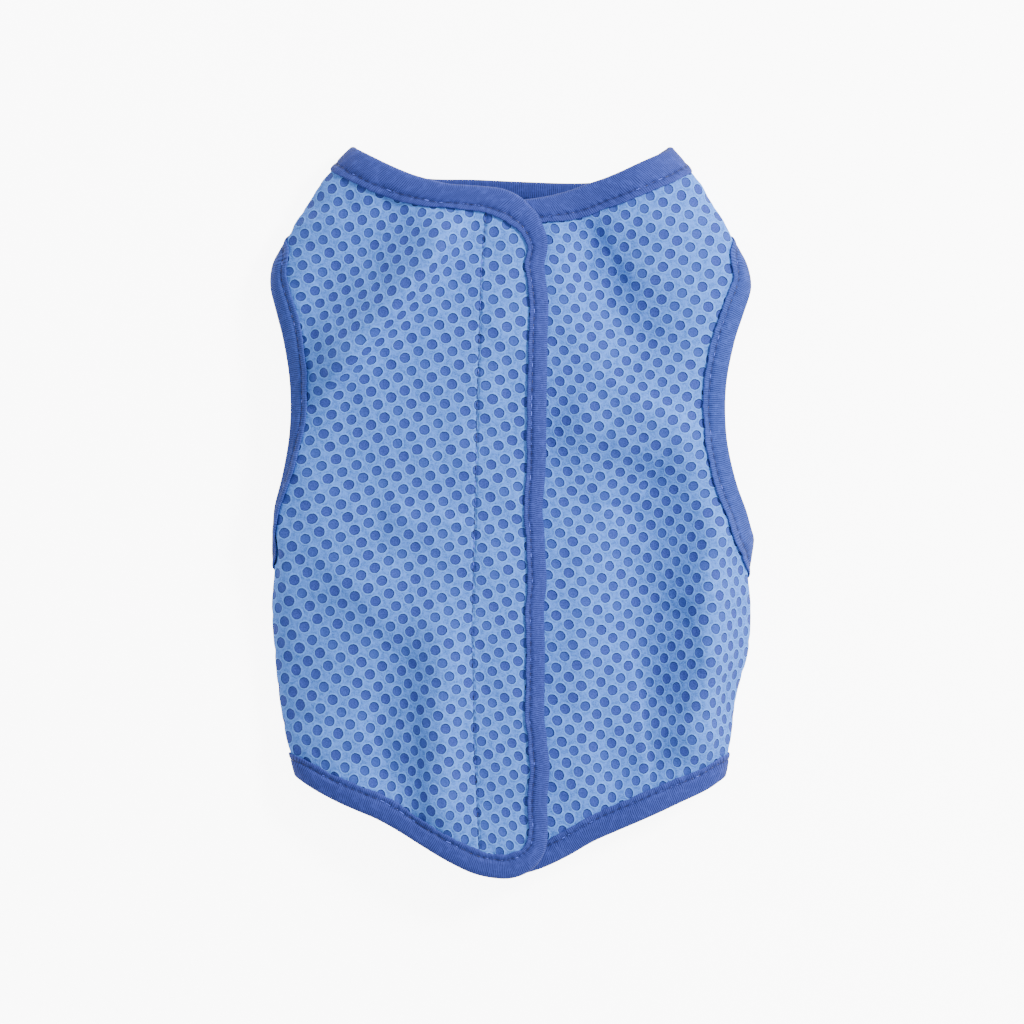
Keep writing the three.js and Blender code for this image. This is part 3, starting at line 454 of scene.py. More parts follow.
    def dome(self, panel, x, y):
        """Height of the middle of the front cloth, without its folds."""
        base = np.where(x < 0, self.fold_centre("left", y), self.fold_centre("right", y))
        share = np.clip(np.abs(x) / self.width_beside(x, y), 0, 1)
        arch = np.sqrt(1 - share * share)
        top = base + (self.crown_height * self.body_at(y, "crown") - base) * arch
        if panel == "overlap":
            return top
        fade = self.half_width("right", y) * self.STEP_REACH
        beyond = (x - self.overlap_reach - 3 * self.tape_edge) / fade
        return top - self.layer_step * (1 - smooth_step(beyond)) * arch

    def ridges(self, folds, panel, x, y):
        rise = np.zeros(np.broadcast(x, y).shape)
        for name, x1, y1, x2, y2, high, before, after in folds:
            if name != panel:
                continue
            start = np.array([x1 * self.half, y1 * self.vest_length / 2])
            line = np.array([x2 * self.half, y2 * self.vest_length / 2]) - start
            fx, fy = x - start[0], y - start[1]
            along = (fx * line[0] + fy * line[1]) / (line @ line)
            across = (line[0] * fy - line[1] * fx) / math.hypot(*line)
            reach = np.where(across > 0, before, after) * self.half
            ends = smooth_step((along + 0.2) / 0.4) * smooth_step((1.2 - along) / 0.4)
            rise = rise + high * self.crown_height * ends * np.exp(-((across / reach) ** 2))
        return rise

    def beside_edges(self, panel, x, y):
        """How far in a place is from the neck or hem, and from the armhole or side fold."""
        side = SIDE[panel]
        edge = np.minimum(self.neck_edge(panel, x) - y, y - self.hem_edge(panel, x))
        beside = self.width_beside(x, y) - np.abs(x)
        armed = (y < self.armhole_top) & (y > self.armhole_bottom(side))
        return edge, np.where(armed, beside - self.armhole_depth(side, y), beside)

    def fold_rise(self, panel, x, y):
        """The folds in the front cloth, which die out at the taped edges and over the fastener."""
        edge, beside = self.beside_edges(panel, x, y)
        start, width = self.EDGE_FADE
        edges = smooth_step((edge - start) / width) * smooth_step(beside / self.LIFT_END)
        strip = smooth_step((SIGN[panel] * x - self.overlap_reach) / self.LIFT_END)
        return self.ridges(FOLDS, panel, x, y) * edges * strip

    def crease_rise(self, panel, x, y):
        """Sharp creases, gentle waves, and the puckers that the stitches draw beside the tape."""
        edge, beside = self.beside_edges(panel, x, y)
        nearest = np.minimum(edge, beside)
        (in_edge, edge_fade), (in_side, side_fade) = self.CREASE_FADE, self.SIDE_FADE
        rise = self.ridges(CREASES, panel, x, y) * smooth_step((edge - in_edge) / edge_fade)
        rise = rise * smooth_step((beside - in_side) / side_fade)
        chance = np.random.default_rng(self.WAVE_SEEDS[panel])
        waves = 0
        for _ in range(self.WAVE_COUNT):
            size = chance.uniform(*self.WAVE_SIZES)
            turn, start = chance.uniform(0, math.tau), chance.uniform(0, math.tau)
            way = x * math.cos(turn) + y * math.sin(turn)
            high = (size / self.WAVE_SIZES[1]) ** 0.8
            waves = waves + high * np.sin(math.tau / size * way + start)
        rise = rise + self.WAVE_RISE * waves * smooth_step(nearest / 0.01)
        to_edge, to_side = np.abs(edge - self.lap), np.abs(beside - self.lap)
        along = np.where(to_edge < to_side, x, y)
        drift = 1.6 * np.sin(math.tau * along / self.PUCKER_DRIFT)
        pucker = np.sin(math.tau * along / self.PUCKER_PITCH + drift)
        pucker = pucker * np.exp(-np.minimum(to_edge, to_side) / self.PUCKER_REACH)
        rise = rise + self.PUCKER_RISE * pucker * smooth_step(nearest / 0.005)
        if panel == "overlap":
            off = x - self.fastener_row(y)
            drawn = np.exp(-((off / self.ROW_REACH) ** 2)) * self.ROW_DEPTH
            wave = self.ROW_WAVE * np.cos(math.tau * y / 0.006) * np.exp(-np.abs(off) / 0.002)
            rise = rise - (drawn + wave) * smooth_step(edge / 0.01)
        return rise

    def fastener_row(self, y):
        return self.half * read_table(FASTENER_ROW, y / (self.vest_length / 2))

    def rolled(self, x, y, high):
        """The left armhole's edge, rolled under so that its tape is seen at a slant."""
        up = y / (self.vest_length / 2)
        into = self.half_width("left", y) - self.armhole_depth("left", y) + x
        past = into - self.ROLL_RISE
        rising, fading = smooth_step(into / self.ROLL_RISE), 1 - smooth_step(past / self.ROLL_FADE)
        out = np.where(past < 0, rising, fading)
        moved = x - out * self.half * read_table(ROLL_OUT, up) * (into > 0)
        drop = self.crown_height * read_table(ROLL_DOWN, up)
        return moved, high - drop * (1 - smooth_step(into / self.ROLL_DROP)) ** 2

    def sink(self, x, y):
        """How far the overlap's free edge lies down towards the underlap."""
        deep = self.layer_step * read_table(SINK, y / (self.vest_length / 2))
        return deep * smooth_step((x + 0.003) / 0.015)

    # Lengths along the cloth, from the centre line out to the side fold

    def measure_girths(self, panel):
        levels = np.linspace(-0.56, 0.56, self.LEVELS) * self.vest_length
        width = self.half_width(SIDE[panel], levels)[:, None]
        out = width * np.sin(np.linspace(0, math.pi / 2, 73))
        up = self.dome(panel, SIGN[panel] * out, np.broadcast_to(levels[:, None], out.shape))
        steps = np.hypot(np.diff(out, axis=1), np.diff(up, axis=1))
        run = np.concatenate([np.zeros((len(levels), 1)), np.cumsum(steps, axis=1)], axis=1)
        shares = np.linspace(0, 1, self.SHARES)
        table = np.stack([np.interp(shares * r[-1], r, o) for r, o in zip(run, out)])
        return {"levels": levels, "total": run[:, -1], "out": table}

    def girth(self, panel, y):
        return np.interp(y, self.girths[panel]["levels"], self.girths[panel]["total"])

    def out_at(self, panel, share, y):
        table, levels = self.girths[panel]["out"], self.girths[panel]["levels"]
        row = np.clip((y - levels[0]) / (levels[1] - levels[0]), 0, len(levels) - 1.001)
        column = np.clip(share, 0, 1) * (self.SHARES - 1) * 0.999999
        j, i = row.astype(int), column.astype(int)
        a, b = row - j, column - i
        near = table[j, i] * (1 - b) + table[j, i + 1] * b
        return near * (1 - a) + (table[j + 1, i] * (1 - b) + table[j + 1, i + 1] * b) * a

    def on_front(self, panel, out, y):
        """A front panel's place so far out from the centre line: (length from the side fold, y)."""
        levels = self.girths[panel]
        row = np.array([np.interp(y, levels["levels"], column) for column in levels["out"].T])
        total = float(self.girth(panel, y))
        if out > 0:
            out = float(np.interp(out, row, np.linspace(0, total, self.SHARES)))
        return (out - total, y)

    # Surfaces, as points in the middle of the cloth

    def front_point(self, panel, wrap, y):
        """Below zero "wrap" is over the front; above zero it goes round the side fold and under."""
        sign, side, r = SIGN[panel], SIDE[panel], self.fold_radius
        total = self.girth(panel, y)
        run = wrap + total
        x = sign * np.where(run < 0, run, self.out_at(panel, run / total, y))
        high = self.dome(panel, x, y) + self.fold_rise(panel, x, y) + self.crease_rise(panel, x, y)
        if panel == "overlap":
            high = high - self.sink(x, y)
            x, high = self.rolled(x, y, high)
        turn = np.clip(wrap / r, 0, math.pi / 2)
        under = np.maximum(wrap - r * math.pi / 2, 0)
        out = self.half_width(side, y) - r * (1 - np.cos(turn)) - under
        centre = self.fold_centre(side, y)
        flat = r + self.cloth / 2 + self.lift(sign * out, y)
        low = centre + (flat - centre) * turn / (math.pi / 2) - r * np.sin(turn)
        over = wrap <= 0
        x, high = np.where(over, x, sign * out), np.where(over, high, low)
        return np.stack([x, y + 0 * wrap, high], axis=-1)

    def back_point(self, x, y):
        return np.stack([x + 0 * y, y + 0 * x, self.cloth / 2 + self.lift(x, y)], axis=-1)

    def point(self, surface, u, v):
        return self.back_point(u, v) if surface == "back" else self.front_point(surface, u, v)

    def normal(self, surface, u, v, probe=0.00025):
        du = self.point(surface, u + probe, v) - self.point(surface, u - probe, v)
        dv = self.point(surface, u, v + probe) - self.point(surface, u, v - probe)
        return unit(np.cross(du, dv)) * (1 if surface == "underlap" else -1)


# Places over the panels, as rows and columns of (u, v) on their surfaces

INNER_ROWS = (0.12, 0.2, 0.3, 0.4, 0.5, 0.6, 0.7, 0.8, 0.87)
# How far the overlap's front edge strays at each of those rows: below zero it falls short
OVERLAP_WANDER = (0, -0.0003, -0.0011, -0.0014, -0.0011, -0.0009, -0.0005, -0.0001, 0)
EVENING_ROUNDS = 260  # smoothing rounds that even out a front panel's places
FLATTENING = ((8, 500), (3, 260))  # every how many places, and how many rounds
FLATTENING_STEP = 1.6  # above one, it settles sooner
UNDERARM_WRAP = ((1, 1), (0.8, 0.965), (0.62, 0.88), (0.45, 0.74), (0.29, 0.55), (0.13, 0.29))
ARMHOLE_ROWS = (0, 0.04, 0.1, 0.22, 0.38, 0.56, 0.72, 0.83, 0.88, 0.92, 0.96, 1)


def side_rows(form, side):
    top, low, zone, end = form.underarm_seam(side), form.hem_seam, form.TAPED_ZONE, form.LIFT_END
    inner = [low + end + (top - low - 2 * end) * i / 3 for i in range(4)]
    return [low, low + zone, *inner, top - zone, top - zone / 2]


def shoulder_rows(form):
    low, top, zone = form.shoulder_seam, form.neck_seam, form.TAPED_ZONE
    return [low + zone / 2, low + zone, (low + top) / 2, top - zone, top - zone / 2, top]


def outer_edge(form, panel):
    """A front panel's outer edge from the hem up: rows of (share, wrap, y), the armhole's ends."""
    side, wrap = SIDE[panel], form.wrap_length
    bottom, top = form.armhole_bottom(side), form.armhole_top
    points = [(wrap, y) for y in side_rows(form, side)]
    start = len(points)
    points += [(wrap * w, bottom - form.underarm_drop * f) for w, f in UNDERARM_WRAP]
    for up in ARMHOLE_ROWS:
        y = bottom + form.armhole_length[side] * up
        out = form.half_width(side, y) - form.armhole_depth(side, y)
        points.append(form.on_front(panel, float(out), y))
    points += [(wrap * w, top + form.shoulder_rise * f) for w, f in UNDERARM_WRAP[::-1]]
    end = len(points) - 1
    points += [(wrap, y) for y in shoulder_rows(form)]
    points = np.array(points, float)
    run = run_along(points)
    rows = np.column_stack([run / run[-1], points])
    return rows, rows[start, 0], rows[end, 0]


def outer_places(rows, t):
    return np.stack([read_table(rows[:, [0, 1]], t), read_table(rows[:, [0, 2]], t)], axis=-1)


def cross_edge(form, panel, edge, corner_out, fold_y, seam_y):
    """A front panel's neck or hem edge, from near the front's corner out and round to the seam."""
    side, sign, steps = SIDE[panel], SIGN[panel], 12
    fold_out = float(form.half_width(side, fold_y))
    points = []
    for i in range(steps):
        out = corner_out + (fold_out - corner_out) * math.sin(i / steps * math.pi / 2)
        points.append(form.on_front(panel, out, float(edge(panel, sign * out))))
    halfway = (form.wrap_length * 0.5, fold_y + (seam_y - fold_y) * 0.35)
    return [*points, (0, fold_y), halfway, (form.wrap_length, seam_y)]


def filled(low, top, first, last):
    """A grid of places between its lowest and highest rows and its first and last columns."""
    t = np.linspace(0, 1, len(first))[:, None, None]
    s = np.linspace(0, 1, len(low))[None, :, None]
    corners = (1 - s) * (1 - t) * low[0] + s * (1 - t) * last[0]
    corners = corners + (1 - s) * t * top[0] + s * t * last[-1]
    rows = low[None] * (1 - t) + top[None] * t
    return rows + first[:, None] * (1 - s) + last[:, None] * s - corners


def front_places(form, panel, columns, rows):
    """A front panel's places from its front edge out and from hem to neck: arrays of wrap and y."""
    side, sign = SIDE[panel], SIGN[panel]
    reach = form.overlap_reach if panel == "overlap" else form.underlap_reach
    wander = OVERLAP_WANDER if panel == "overlap" else (0,) * len(INNER_ROWS)
    hem_fold = float(form.hem_edge(panel, sign * form.half_width(side, form.hem_side)))
    high = float(form.neck_edge(panel, -sign * reach))
    deep = float(form.hem_edge(panel, -sign * reach))
    radius = form.corner_radius
    trim = radius - reach

    def corner(start_y, edge, level):
        ends = ((-reach, start_y), (-reach, level), (trim, float(edge(panel, sign * trim))))
        ends = [form.on_front(panel, out, y) for out, y in ends]
        return [bezier(*ends, t) for t in (0, 0.25, 0.5, 0.75)]

    def across(rounding, edge, fold_y, seam_y):
        beyond = cross_edge(form, panel, edge, trim, fold_y, seam_y)
        return smooth_run([rounding[2], rounding[3], *beyond], columns + 1)

    neck = corner(high - radius, form.neck_edge, high)
    hem = corner(deep + radius, form.hem_edge, deep)
    top = across(neck, form.neck_edge, form.peak, form.neck_seam)
    low = across(hem, form.hem_edge, hem_fold, form.hem_seam)
    straight = [
        form.on_front(panel, -reach - stray, deep + (high - deep) * up)
        for up, stray in zip(INNER_ROWS, wander)
    ]
    inner = smooth_run([hem[2], hem[1], hem[0], *straight, neck[0], neck[1], neck[2]], rows + 1)
    edge_rows, arm_start, arm_end = outer_edge(form, panel)
    places = filled(low, top, inner, outer_places(edge_rows, np.linspace(0, 1, rows + 1)))
    for _ in range(EVENING_ROUNDS):
        beside = places[2:, 1:-1] + places[:-2, 1:-1] + places[1:-1, 2:] + places[1:-1, :-2]
        places[1:-1, 1:-1] = beside / 4
    return places[..., 0], places[..., 1], (edge_rows, arm_start, arm_end)


def back_side_places(form, side, count):
    """The back panel's side edge from the hem up, evenly along its height."""
    sign = -1 if side == "left" else 1
    y = np.linspace(form.hem_seam, form.neck_seam, count)
    inside = (y > form.underarm_seam(side)) & (y < form.shoulder_seam)
    seam = form.half_width(side, y) - form.seam_inset - form.CLEARANCE
    return np.stack([sign * np.where(inside, form.back_armhole(side, y), seam), y], axis=1)


def back_places(form, columns, rows):
    """The back panel's places from left to right and from hem to neck, as arrays of x and y."""
    left, right = (back_side_places(form, side, rows + 1) for side in ("left", "right"))
    s = np.linspace(0, 1, columns + 1)

    def cross(row, edge):
        a, b = left[row], right[row]
        x = a[0] + (b[0] - a[0]) * s
        drift = (a[1] - edge(a[0])) * (1 - s) + (b[1] - edge(b[0])) * s
        return np.stack([x, edge(x) + drift], axis=1)

    low, top = cross(0, form.back_hem), cross(-1, lambda x: form.neck_edge("back", x))
    places = filled(low, top, left, right)
    return places[..., 0], places[..., 1]


def flattened(points, start, rounds):
    """Where the places of a sheet lie when its cloth is smoothed out flat, from a first guess."""
    p = start.copy()
    every, first, last = slice(None), slice(0, -1), slice(1, None)
    pairs = [
        ((every, first), (every, last)),
        ((first, every), (last, every)),
        ((first, first), (last, last)),
        ((first, last), (last, first)),
    ]
    lengths = [np.linalg.norm(points[b] - points[a], axis=2) for a, b in pairs]
    for _ in range(rounds):
        push, count = np.zeros_like(p), np.zeros(p.shape[:2] + (1,))
        for (a, b), rest in zip(pairs, lengths):
            gap = p[b] - p[a]
            now = np.linalg.norm(gap, axis=2)
            move = gap * ((now - rest) / np.maximum(now, 1e-9) / 2)[..., None]
            push[a] += move
            push[b] -= move
            count[a] += 1
            count[b] += 1
        p += push / count * FLATTENING_STEP
    return p


def spread_out(points, base):
    """Flattens a fine sheet through two coarser ones. "base" is each place's first guess."""
    rows, columns = points.shape[:2]
    drift = np.zeros_like(base)
    for every, rounds in FLATTENING:
        j = np.unique(np.append(np.arange(0, rows, every), rows - 1))
        i = np.unique(np.append(np.arange(0, columns, every), columns - 1))
        picked = np.ix_(j, i)
        coarse = flattened(points[picked], (base + drift)[picked], rounds) - base[picked]
        for k in (0, 1):
            across = np.array([np.interp(np.arange(columns), i, row) for row in coarse[..., k]])
            drift[..., k] = np.array([np.interp(np.arange(rows), j, line) for line in across.T]).T
    return base + drift


def dimple_field(panel, flat):
    """The row and column of dimples at each flattened place."""
    x, y = flat[..., 0] * 10, flat[..., 1] * 10
    terms = (1, y, x, y * y, x * y, x * x, y**3, x * y * y, x * x * y, x**3)
    return np.stack([sum(c * t for c, t in zip(row, terms)) for row in DIMPLE_ROWS[panel]], axis=-1)


# Meshes

def grid_mesh(name, points, maps, outward=None, closed=False):
    """A sheet or closed tube from rows and columns of points. "maps" has a pair for each."""
    rows, columns = points.shape[0] - 1, points.shape[1] - 1
    bm = bmesh.new()
    bmesh.ops.create_grid(bm, x_segments=columns, y_segments=rows, size=1)
    mesh = bpy.data.meshes.new(name)
    bm.to_mesh(mesh)
    bm.free()
    count = len(mesh.vertices)
    co = np.zeros(count * 3, np.float32)
    mesh.vertices.foreach_get("co", co)
    spot = co.reshape(-1, 3)
    i = np.rint((spot[:, 0] + 1) / 2 * columns).astype(int)
    j = np.rint((spot[:, 1] + 1) / 2 * rows).astype(int)
    mesh.vertices.foreach_set("co", points[j, i].astype(np.float32).ravel())
    corner = np.zeros(len(mesh.loops), np.int32)
    mesh.loops.foreach_get("vertex_index", corner)
    for layer, values in maps.items():
        uv = mesh.uv_layers.new(name=layer)
        uv.data.foreach_set("uv", values[j[corner], i[corner]].astype(np.float32).ravel())
    bm = bmesh.new()
    bm.from_mesh(mesh)
    bm.normal_update()
    bm.faces.ensure_lookup_table()
    if closed:
        rim = [v for v in bm.verts if v.is_boundary]
        bmesh.ops.remove_doubles(bm, verts=rim, dist=1e-6)
        bmesh.ops.recalc_face_normals(bm, faces=bm.faces)
    elif outward is not None:
        face = bm.faces[len(bm.faces) // 2]
        spot = face.verts[0].index
        if face.normal.dot(Vector(outward[j[spot], i[spot]])) < 0:
            bmesh.ops.reverse_faces(bm, faces=bm.faces)
    for face in bm.faces:
        face.smooth = True
    bm.to_mesh(mesh)
    bm.free()
    return mesh


def add_piece(name, mesh, material, stands_for=(), thickness=0.0):
    piece = bpy.data.objects.new(name, mesh)
    bpy.context.scene.collection.objects.link(piece)
    mesh.materials.append(material)
    if thickness:
        wall = piece.modifiers.new("Cloth", "SOLIDIFY")
        wall.thickness, wall.offset, wall.use_even_offset = thickness, -1, False
    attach(piece, "root")
    if stands_for:
        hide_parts(*stands_for)
    return piece


def vest_form():
    scene = bpy.context.scene
    return VestForm(scene.vest_shape, scene.vest_cloth, scene.vest_tape)


# Materials

def new_material(name, roughness, sheen=0.0, sheen_tint=(1, 1, 1), gloss=0.15):
    material = bpy.data.materials.new(name)
    material.use_nodes = True
    tree = material.node_tree
    shader = tree.nodes["Principled BSDF"]
    shader.inputs["Roughness"].default_value = roughness
    shader.inputs["Sheen Weight"].default_value = sheen
    shader.inputs["Sheen Roughness"].default_value = 0.5
    shader.inputs["Sheen Tint"].default_value = (*sheen_tint, 1)
    shader.inputs["Specular IOR Level"].default_value = gloss
    return material, tree, shader


def node(tree, kind, settings=None, **sockets):
    """A new node. A socket is named with "_" for each space, or "_" and its number."""
    made = tree.nodes.new(kind)
    for key, value in (settings or {}).items():
        setattr(made, key, value)
    for key, value in sockets.items():
        socket = made.inputs[int(key[1:]) if key[1:].isdigit() else key.replace("_", " ")]
        if isinstance(value, bpy.types.NodeSocket):
            tree.links.new(value, socket)
        else:
            socket.default_value = value
    return made


def maths(tree, operation, first, second=0.0, third=0.0):
    made = node(tree, "ShaderNodeMath", {"operation": operation}, _0=first, _1=second, _2=third)
    return made.outputs[0]


def vector_maths(tree, operation, first, second=(0, 0, 0)):
    made = node(tree, "ShaderNodeVectorMath", {"operation": operation}, _0=first, _1=second)
    return made.outputs["Value" if operation == "LENGTH" else 0]


def map_range(tree, value, low, high, to_low=0.0, to_high=1.0, kind="SMOOTHSTEP"):
    ends = {"From_Min": low, "From_Max": high, "To_Min": to_low, "To_Max": to_high}
    made = node(tree, "ShaderNodeMapRange", {"interpolation_type": kind}, Value=value, **ends)
    return made.outputs["Result"]


def blend_colours(tree, share, first, second, blend_type="MIX"):
    settings = {"data_type": "RGBA", "blend_type": blend_type}
    return node(tree, "ShaderNodeMix", settings, _0=share, _6=first, _7=second).outputs[2]


def noise(tree, place, scale, **settings):
    made = node(tree, "ShaderNodeTexNoise", Vector=place, Scale=scale, **settings)
    return made.outputs["Fac"]


def uv_map(tree, name):
    return node(tree, "ShaderNodeUVMap", {"uv_map": name}).outputs[0]


def apart(tree, vector):
    return node(tree, "ShaderNodeSeparateXYZ", Vector=vector).outputs


def object_place(tree):
    return node(tree, "ShaderNodeTexCoord").outputs["Object"]


def bumped(tree, strength, distance, height, **under):
    sockets = {"Strength": strength, "Distance": distance, "Height": height, **under}
    return node(tree, "ShaderNodeBump", **sockets).outputs[0]


def new_group(name, inputs, outputs):
    tree = bpy.data.node_groups.new(name, "ShaderNodeTree")
    for way, labels in (("INPUT", inputs), ("OUTPUT", outputs)):
        for label in labels:
            kind = "NodeSocketVector" if label in ("Net", "Place") else "NodeSocketFloat"
            tree.interface.new_socket(name=label, in_out=way, socket_type=kind)
    return tree, tree.nodes.new("NodeGroupInput").outputs, tree.nodes.new("NodeGroupOutput").inputs


def place_group(tree, group, **sockets):
    return node(tree, "ShaderNodeGroup", {"node_tree": group}, **sockets).outputs


def dimple_group():
    """Round dimples on a square net: their floors, walls and rims, and a height for the bump."""
    if "Dimples" in bpy.data.node_groups:
        return bpy.data.node_groups["Dimples"]
    outputs = ("Floor", "Wall", "Rim", "Height", "Chance")
    tree, given, out = new_group("Dimples", ("Net", "Radius"), outputs)
    shifted = vector_maths(tree, "ADD", given["Net"], (0.5, 0.5, 0))
    inside, cell = (vector_maths(tree, part, shifted) for part in ("FRACTION", "FLOOR"))
    flat = {"noise_dimensions": "2D"}
    chance = node(tree, "ShaderNodeTexWhiteNoise", flat, Vector=cell).outputs["Value"]
    wobble = node(tree, "ShaderNodeTexNoise", flat, Vector=given["Net"], Scale=5.0, Detail=1.0)
    from_middle = vector_maths(tree, "SUBTRACT", inside, (0.5, 0.5, 0))
    far = vector_maths(tree, "LENGTH", from_middle)
    uneven = maths(tree, "MULTIPLY_ADD", wobble.outputs["Fac"], 0.05, -0.025)
    sized = maths(tree, "MULTIPLY_ADD", chance, 0.024, -0.012)
    off = maths(tree, "ADD", maths(tree, "ADD", far, uneven), sized)
    off = maths(tree, "SUBTRACT", off, given["Radius"])
    inner, outer = map_range(tree, off, -0.075, -0.025), map_range(tree, off, 0.018, -0.004)
    near, fading = map_range(tree, off, 0.0, 0.025), map_range(tree, off, 0.15, 0.045)
    rim = maths(tree, "MULTIPLY", near, fading)
    values = (
        map_range(tree, off, 0.012, -0.016),
        maths(tree, "MULTIPLY", inner, outer),
        rim,
        maths(tree, "MULTIPLY_ADD", rim, 0.3, map_range(tree, off, -0.04, 0.025)),
        chance,
    )
    for name, value in zip(outputs, values):
        tree.links.new(value, out[name])
    return tree


def fibre_group():
    """Fine fibres of brushed or woven cloth: a small grain, a soft mottle and broad changes."""
    if "Fibres" in bpy.data.node_groups:
        return bpy.data.node_groups["Fibres"]
    sizes = {"Grain": (1900.0, 2.0, 0.6), "Mottle": (520.0, 3.0, 0.6), "Broad": (60.0, 2.0, 0.5)}
    tree, given, out = new_group("Fibres", ("Place", "Fineness"), sizes)
    for name, (scale, detail, rough) in sizes.items():
        size = maths(tree, "MULTIPLY", given["Fineness"], scale)
        tree.links.new(noise(tree, given["Place"], size, Detail=detail, Roughness=rough), out[name])
    return tree


def shade(blue, *times):
    """A colour made darker or lighter, by one factor or by one for each channel."""
    return (*(min(1, c * t) for c, t in zip(blue, times * (3 // len(times)))), 1)


def cloth_material(name, cloth, stitching):
    """Soft knitted cloth with round dimples pressed into it."""
    material, tree, shader = new_material(name, 0.85, 0.05, (0.75, 0.87, 1), 0.08)
    radius = cloth.dimple_width / cloth.dimple_pitch / 2
    dots = place_group(tree, dimple_group(), Net=uv_map(tree, "dimples"), Radius=radius)
    fibres = place_group(tree, fibre_group(), Place=uv_map(tree, "cloth"), Fineness=1.0)
    fuzz, mottle, broad = (fibres[k] for k in ("Grain", "Mottle", "Broad"))
    pale, dimple = cloth.pale, cloth.dimple

    def layer(share, under, over, blend_type="MIX"):
        return blend_colours(tree, share, under, over, blend_type)

    lit = map_range(tree, mottle, 0.34, 0.66)
    tone = layer(lit, shade(pale, 0.66), shade(pale, 1.3, 1.22, 1.12))
    tone = layer(map_range(tree, fuzz, 0.4, 0.66, 0, 0.7), tone, shade(pale, 1.7, 1.5, 1.25))
    # Partly the cloth's own pale halo, partly painted highlight: the raised rim round each dimple
    # is painted lighter, as if it catches the light
    tone = layer(maths(tree, "MULTIPLY", dots["Rim"], 0.58), tone, shade(pale, 2.1, 1.85, 1.42))
    floor = layer(map_range(tree, fuzz, 0.35, 0.65), shade(dimple, 0.84), shade(dimple, 1.3))
    lightened = map_range(tree, dots["Chance"], 0.3, 1, 0, 0.22, "LINEAR")
    floor = layer(lightened, floor, shade(pale, 0.8))
    mixed = layer(dots["Floor"], tone, floor)
    # Painted shade: the dimples' walls are painted darker, as the shade inside each dimple
    mixed = layer(maths(tree, "MULTIPLY", dots["Wall"], 0.6), mixed, shade(dimple, 0.62))
    stained = map_range(tree, broad, 0.3, 0.7, 0.0, 0.3)
    mixed = layer(stained, mixed, (0.8, 0.84, 0.9, 1), "MULTIPLY")
    seam = apart(tree, uv_map(tree, "seam"))
    row = {"Along": seam["X"], "Across": seam["Y"], "Stitch": stitching.stitch}
    sewn = place_group(tree, seam_group(), Reach=0.0005, **row)
    # Painted shade: the cloth along the fastener's row of stitches is painted darker, as the shade
    # in its groove
    mixed = layer(maths(tree, "MULTIPLY", sewn["Groove shade"], 0.5), mixed, shade(dimple, 0.7))
    tree.links.new(mixed, shader.inputs["Base Color"])
    tree.links.new(map_range(tree, dots["Floor"], 0, 1, 0.85, 0.7), shader.inputs["Roughness"])
    fine = bumped(tree, 0.4, 0.00012, fuzz)
    soft = bumped(tree, 0.55, 0.0005, mottle, Normal=fine)
    pressed = bumped(tree, 1.0, 0.00042, dots["Height"], Normal=soft)
    furrow = maths(tree, "MULTIPLY", sewn["Pucker"], -1.0)
    pulled = bumped(tree, 1.0, 0.0005, furrow, Normal=pressed)
    tree.links.new(pulled, shader.inputs["Normal"])
    return material


def seam_group():
    """Along a row of stitches: the painted shade of the narrow groove along its holes, and the
    wider furrow it draws in.
    """
    if "Seam" in bpy.data.node_groups:
        return bpy.data.node_groups["Seam"]
    inputs, outputs = ("Along", "Across", "Stitch", "Reach"), ("Groove shade", "Pucker")
    tree, given, out = new_group("Seam", inputs, outputs)
    near = maths(tree, "DIVIDE", maths(tree, "ABSOLUTE", given["Across"]), given["Reach"])
    turn = maths(tree, "MULTIPLY", given["Along"], math.tau)
    wave = maths(tree, "COSINE", maths(tree, "DIVIDE", turn, given["Stitch"]))
    for name, far, close, swing in (("Groove shade", 1.0, 0.15, 0.35), ("Pucker", 2.6, 0.1, 0.3)):
        pulse = maths(tree, "MULTIPLY_ADD", wave, swing, 1 - swing)
        strength = maths(tree, "MULTIPLY", map_range(tree, near, far, close), pulse)
        tree.links.new(strength, out[name])
    return tree


def rib_group():
    """Fine cross ribs of a woven tape: a height, and a tone that varies with the threads, painted
    lighter on the ribs' crests and darker between them as light and shade.
    """
    if "Tape ribs" in bpy.data.node_groups:
        return bpy.data.node_groups["Tape ribs"]
    tree, given, out = new_group("Tape ribs", ("Place", "Pitch"), ("Height", "Rib shading"))
    parts = apart(tree, given["Place"])
    wander = maths(tree, "MULTIPLY", noise(tree, given["Place"], 260.0, Detail=1.0), 1.2)
    along = maths(tree, "ADD", maths(tree, "DIVIDE", parts["X"], given["Pitch"]), wander)
    across = maths(tree, "DIVIDE", parts["Y"], given["Pitch"])
    rib, pick = (
        maths(tree, "ABSOLUTE", maths(tree, "SINE", maths(tree, "MULTIPLY", way, turns)))
        for way, turns in ((along, math.pi), (across, math.pi * 1.3))
    )
    grain = noise(tree, given["Place"], 3200.0, Detail=1.0)
    raised, share = maths(tree, "MULTIPLY_ADD", pick, 0.3, rib), maths(tree, "MULTIPLY", rib, 0.7)
    for name, base, rough in (("Height", raised, 0.4), ("Rib shading", share, 0.3)):
        value = maths(tree, "ADD", base, maths(tree, "MULTIPLY", grain, rough))
        tree.links.new(value, out[name])
    return tree


